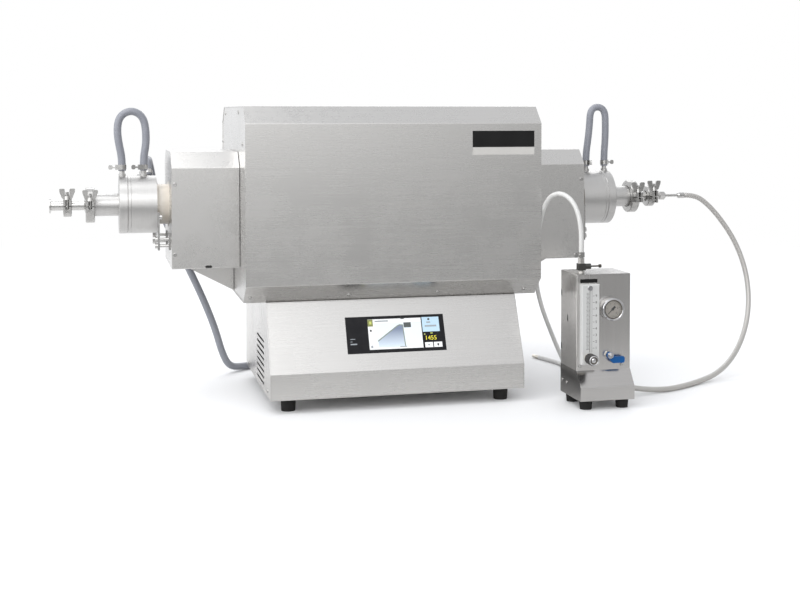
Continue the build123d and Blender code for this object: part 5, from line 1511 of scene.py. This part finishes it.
@dataclass(frozen=True)
class PressureGauge:
    """Rim, dial card and pointer of the pressure gauge."""

    shop: Workshop
    middle: Spot = (394.0, 191.0)
    face: float = -344.0
    dial: float = -339.0
    card_radius: float = 17.6
    rest_turn: float = 225.0
    sweep: float = 270.0

    def rim(self) -> bpy.types.Object:
        """Models the bright bezel over the edge of the case, with painted shade on its inner lip.

        Returns:
            The dressed mesh object.
        """
        profile = [(21.05, -6.5), (21.9, -6.2), (22.4, -2.0), (21.9, 0.6), (20.8, 1.6), (19.4, 1.8),
                   (18.4, 1.2), (17.6, 0.5), (16.4, 0.15), (16.4, 0.02), (21.05, 0.02)]
        rim = self.shop.wardrobe.dress(self.shop.turned(profile, 64), "chrome")
        # Painted shade on the inner lip of the bezel.
        return self.shop.painted_ring_shade(rim, 16.3, 18.0)

    def card(self) -> bpy.types.Object:
        """Makes the dial card with its marks and figures.

        Returns:
            The dressed mesh object.
        """
        edge = [(self.card_radius * math.cos(2 * math.pi * n / 48),
                 self.card_radius * math.sin(2 * math.pi * n / 48)) for n in range(48)]
        parts = [self.shop.card(edge, "dial_beige", 0.0, 0.08)]
        master = self.shop.card(rectangle(-0.28, -1.3, 0.28, 1.3), "mark_ink", 0.08, 0.04)
        places = []
        for n in range(21):
            angle = math.radians(self.rest_turn - self.sweep * n / 20)
            radius = 15.3 if n % 4 == 0 else 15.9
            spot = (radius * math.cos(angle), radius * math.sin(angle), 0.0)
            places.append(Matrix.Translation(spot) @ Matrix.Rotation(angle - math.pi / 2, 4, "Z")
                          @ Matrix.Scale(1.0 if n % 4 == 0 else 0.55, 4, (0.0, 1.0, 0.0)))
        parts += self.shop.copies(master, places)
        for n in range(6):
            angle = math.radians(self.rest_turn - self.sweep * n / 5)
            spot = (11.0 * math.cos(angle), 11.0 * math.sin(angle))
            parts.append(self.shop.number(str(2 * n), 2.8, spot, "mark_ink", 0.08, 0.04))
        return self.shop.joined(parts)

    def pointer(self) -> bpy.types.Object:
        """Models the pointer: a thin hand, a broad tail and a domed hub.

        Returns:
            The dressed mesh object.
        """
        hand = [(13.4, -0.25), (13.4, 0.25), (0.0, 1.0), (-3.0, 1.9), (-7.2, 1.9), (-7.2, -1.9),
                (-3.0, -1.9), (0.0, -1.0)]
        turn = math.radians(self.rest_turn)
        blade = self.shop.flat_line(hand, 0.9)
        blade.data.transform(Matrix.Rotation(turn, 4, "Z"))
        hub = self.shop.turned([(0.0, 0.0), (2.6, 0.0), (2.6, 1.2), (1.6, 1.7), (0.0, 1.8)], 24)
        needle = self.shop.joined([self.shop.soften(blade, 0.1, 1), hub])
        return self.shop.wardrobe.dress(needle, "needle_black")

    def build(self) -> None:
        """Makes the three pieces."""
        x, z = self.middle
        self.shop.hand_over(self.rim(), "gauge_rim", "furnace", "plated_steel",
                            on_face((x, self.face, z)))
        self.shop.hand_over(self.card(), "gauge_dial", "furnace", "plated_steel",
                            on_face((x, self.dial, z)))
        self.shop.hand_over(self.pointer(), "gauge_pointer", "needle", "needle_black",
                            on_face((x, -340.0, z)), ["gauge_needle"])


@dataclass(frozen=True)
class ShutOffLever:
    """Lever of the shut-off valve with the nut that holds it."""

    shop: Workshop
    pivot: Place = (390.0, -341.4, 102.0)
    grip_near: float = 3.0
    grip_far: float = 29.0
    grip_low: float = -15.0
    grip_high: float = -2.5
    thickness: float = 6.6

    def handle(self) -> bpy.types.Object:
        """Models the lever: a dipped grip with rounded edges on a flat arm round the stem.

        Returns:
            The dressed mesh object.
        """
        low, high, near, far = self.grip_low, self.grip_high, self.grip_near, self.grip_far
        outline = [(-6.5, -3.0), (-3.0, -6.0), (near - 1.0, low + 3.0), (near + 2.0, low),
                   (far - 2.5, low), (far, low + 2.5), (far, high - 2.5), (far - 2.5, high),
                   (near + 7.0, high), (6.0, 1.5), (3.5, 5.5), (-3.0, 6.0), (-6.5, 3.0)]
        grip = self.shop.flat_line(outline, self.thickness)
        with self.shop.shaping(grip, lambda mid, way: way.z > 0.9):
            bpy.ops.mesh.inset(thickness=1.6)
            bpy.ops.transform.translate(value=(0.0, 0.0, -0.5))
        self.shop.soften(grip, 0.9, 3)
        stem = self.shop.turned([(0.0, -11.0), (4.0, -11.0), (4.0, 0.5), (0.0, 0.5)], 24)
        return self.shop.joined([self.shop.wardrobe.dress(grip, "blue_dip"),
                                 self.shop.wardrobe.dress(stem, "chrome")])

    def nut(self) -> bpy.types.Object:
        """Models the nut with its chamfered corners, its washer and the stem's end.

        Returns:
            The dressed mesh object.
        """
        nut = self.shop.disc(5.2, 0.6, 3.8, 6)
        with self.shop.shaping(nut, lambda mid, way: way.z > 0.9):
            bpy.ops.mesh.inset(thickness=0.7)
            bpy.ops.transform.translate(value=(0.0, 0.0, 0.5))
        self.shop.soften(nut, 0.2)
        washer = self.shop.turned([(0.0, 0.0), (6.0, 0.0), (6.0, 0.5), (5.7, 0.7), (0.0, 0.7)], 32)
        end = self.shop.turned([(0.0, 3.8), (2.6, 3.8), (2.6, 5.4), (2.1, 6.0), (0.0, 6.0)], 24)
        return self.shop.wardrobe.dress(self.shop.joined([nut, washer, end]), "chrome")

    def build(self) -> None:
        """Makes the lever and its nut."""
        x, y, z = self.pivot
        self.shop.hand_over(self.handle(), "lever_grip", "lever", "blue_plastic",
                            on_face((x, y + self.thickness, z)), ["valve_handle"])
        self.shop.hand_over(self.nut(), "lever_nut", "lever", "plated_steel", on_face(self.pivot))


# -------------------------------------------------------------------- the room
@dataclass(frozen=True)
class Studio:
    """Camera, lights, floor and background."""

    eye: Place = (-575.7, -2678.2, 567.5)
    heading: float = 0.249
    tilt: float = 0.034
    focal_px: float = 1312.3
    centre_px: Spot = (422.97, 157.33)
    frame_px: tuple[int, int] = (800, 600)
    # Name, place, target and size in metres, and power of each soft light.
    LAMPS: ClassVar = (
        ("overhead_left", (-1.15, -0.3, 2.6), (-0.4, 0.1, 0.3), (1.5, 1.8), 17.0),
        ("left_panel", (-3.2, -1.4, 1.6), (0.0, 0.1, 0.3), (2.0, 2.2), 18.0),
        ("front_box", (-1.3, -3.4, 2.7), (0.0, 0.1, 0.3), (2.2, 1.3), 26.0),
        ("rear_strip", (0.4, 2.6, 2.2), (0.0, 0.1, 0.3), (3.2, 0.8), 20.0),
    )

    def camera(self) -> None:
        """Sets up the camera at the viewing angle."""
        width, height = self.frame_px
        data = bpy.data.cameras.new("viewpoint")
        data.sensor_width = 36.0
        data.lens = self.focal_px * data.sensor_width / width
        data.shift_x = (width / 2 - self.centre_px[0]) / width
        data.shift_y = (self.centre_px[1] - height / 2) / width
        data.clip_end = 100.0
        camera = bpy.data.objects.new("viewpoint", data)
        camera.location = row(*self.eye)
        camera.rotation_euler = (math.pi / 2 - self.tilt, 0.0, -self.heading)
        bpy.context.scene.collection.objects.link(camera)
        bpy.context.scene.camera = camera
        bpy.context.scene.view_settings.view_transform = "Standard"

    @staticmethod
    def lamp(name: str, place: Place, target: Place, size: Spot, power: float) -> None:
        """Adds a soft rectangular lamp aimed at a point, both in metres.

        Args:
            name: Its name.
            place: Its place.
            target: Point that it faces.
            size: Width and height.
            power: Power in watts.
        """
        data = bpy.data.lights.new(name, "AREA")
        data.shape = "RECTANGLE"
        data.size, data.size_y = size
        data.energy = power
        lamp = bpy.data.objects.new(name, data)
        lamp.location = place
        lamp.rotation_euler = (Vector(target) - Vector(place)).to_track_quat("-Z", "Y").to_euler()
        bpy.context.scene.collection.objects.link(lamp)

    def lamps(self) -> None:
        """Places the soft lights."""
        for name, place, target, size, power in self.LAMPS:
            self.lamp(name, place, target, size, power)

    def background(self) -> None:
        """Paints a white room: bright behind and overhead, greyer to the front right."""
        world = bpy.data.worlds.new("studio")
        world.use_nodes = True
        board = Board(world.node_tree)
        shade = world.node_tree.nodes["Background"]
        parts = board.add("SeparateXYZ")
        board.join(board.add("TexCoord").outputs["Generated"], parts.inputs[0])
        across, back, up = parts.outputs["X"], parts.outputs["Y"], parts.outputs["Z"]
        side = board.span(across, 0.02, 0.42)
        low = board.span(up, -0.1, 0.55)
        front = board.blend(side, (1.95, 1.95, 1.95), (0.5, 0.5, 0.495))
        front = board.blend(low, front, board.blend(side, (1.5, 1.51, 1.53), (0.66, 0.66, 0.67)))
        room = board.blend(board.span(back, -0.2, 0.35), front, (1.1, 1.11, 1.13))
        room = board.blend(board.span(up, 0.75, 0.98), room, (0.86, 0.87, 0.89))
        seen = board.add("LightPath").outputs["Is Camera Ray"]
        board.join(board.blend(seen, room, (1.0, 1.0, 1.0)), shade.inputs["Color"])
        bpy.context.scene.world = world

    def floor(self) -> None:
        """Lays the pale floor, which runs into the white of the room."""
        deselect()
        bpy.ops.mesh.primitive_plane_add(size=30.0, location=(0.0, 0.0, 0.0))
        plane = settle(bpy.context.object)
        plane.name = "studio_floor"
        material = bpy.data.materials.new("pale_floor")
        material.use_nodes = True
        board = Board(material.node_tree)
        shader = material.node_tree.nodes["Principled BSDF"]
        output = material.node_tree.nodes["Material Output"]
        where = board.add("TexCoord").outputs["Object"]
        parts = board.add("SeparateXYZ")
        board.join(where, parts.inputs[0])
        seen = board.add("LightPath").outputs["Is Camera Ray"]
        near = board.blend(board.span(parts.outputs["Y"], -1.1, -0.15), (0.22, 0.22, 0.218),
                           (0.74, 0.735, 0.73))
        mirrored = board.blend(board.span(parts.outputs["Y"], -0.3, 1.6), near, (0.82, 0.82, 0.82))
        board.join(board.blend(seen, mirrored, (0.86, 0.865, 0.875)), shader.inputs["Base Color"])
        shader.inputs["Roughness"].default_value = 0.65
        glow = board.add("Emission")
        glow.inputs["Color"].default_value = (1.0, 1.0, 1.0, 1.0)
        reach = board.add("VectorMath", operation="LENGTH")
        board.join(where, reach.inputs[0])
        mix = board.add("MixShader")
        fade = board.span(reach.outputs["Value"], 1.1, 3.4)
        board.join(board.sum("MULTIPLY", fade, seen), mix.inputs[0])
        board.join(shader.outputs[0], mix.inputs[1])
        board.join(glow.outputs[0], mix.inputs[2])
        board.join(mix.outputs[0], output.inputs["Surface"])
        plane.data.materials.append(material)


# ------------------------------------------------------------- finishes by node
NODE_FINISH = {
    "casing_sheet": ("outer_casing", "base_cabinet", "control_panel", "rear_panel"),
    "end_sheet": ("end_panels", "side_boxes", "cable_ducts"),
    "gas_unit_sheet": ("gas_unit_cover", "gas_unit_front"),
    "gas_base_sheet": ("gas_unit_base",),
    "zinc_sheet": ("insulation_rails",),
    "fibre_board": ("insulation_halves", "fibre_collars"),
    "carbide": ("heating_rods",),
    "bare_aluminium": ("rod_terminals",),
    "dense_ceramic": ("thermocouple", "work_tube"),
    "display_glass": ("touch_display",),
    "black_rubber": ("rubber_feet", "seal_rings"),
    "grey_plastic": ("switchgear", "cable_gland"),
    "black_plastic": ("fan_frame", "fan_rotor", "mains_switch", "mains_rocker", "flow_knob"),
    "polished_pipe": ("outlet_nipple", "inlet_adapter", "reducers"),
    "plated_steel": ("hose_clamps", "gauge_case", "flow_float", "flange_supports",
                     "gas_hose_fitting"),
    "clear_block": ("flow_meter",),
    "gauge_window": ("gauge_glass",),
    "needle_black": ("gauge_needle",),
    "plated_brass": ("ball_valve", "gas_outlet", "supply_coupling"),
    "blue_dip": ("valve_handle",),
    "two_tone_brass": ("top_valve",),
    "dark_brass": ("valve_plunger",),
    "satin_turned": ("flange_body_left", "flange_body_right", "flange_cover_left",
                     "flange_cover_right"),
    "cast_clamp": ("large_clamps", "small_clamps", "large_wing_nut_left", "large_wing_nut_right",
                   "small_wing_nut_left", "small_wing_nut_right"),
}


def dress_nodes(frame: dict, wardrobe: Wardrobe) -> None:
    """Gives every carried-over part its finish.

    Args:
        frame: The loaded frame.
        wardrobe: The finishes.
    """
    for finish, names in NODE_FINISH.items():
        for name in names:
            wardrobe.dress(frame["nodes"][name], finish)


def main() -> None:
    """Builds the scene in order: room, hoses, finishes and added pieces."""
    logging.basicConfig(level=logging.INFO, format="%(name)s: %(message)s")
    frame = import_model()
    deselect()
    studio = Studio()
    studio.camera()
    wardrobe = Wardrobe(Effects())
    Hoses(frame, wardrobe).build()
    dress_nodes(frame, wardrobe)
    shop = Workshop(wardrobe)
    for maker in (Fixings, Plates, ScreenPicture, FlowScale, PressureGauge, ShutOffLever):
        maker(shop).build()
    studio.lamps()
    studio.background()
    studio.floor()


if __name__ == "__main__":
    main()
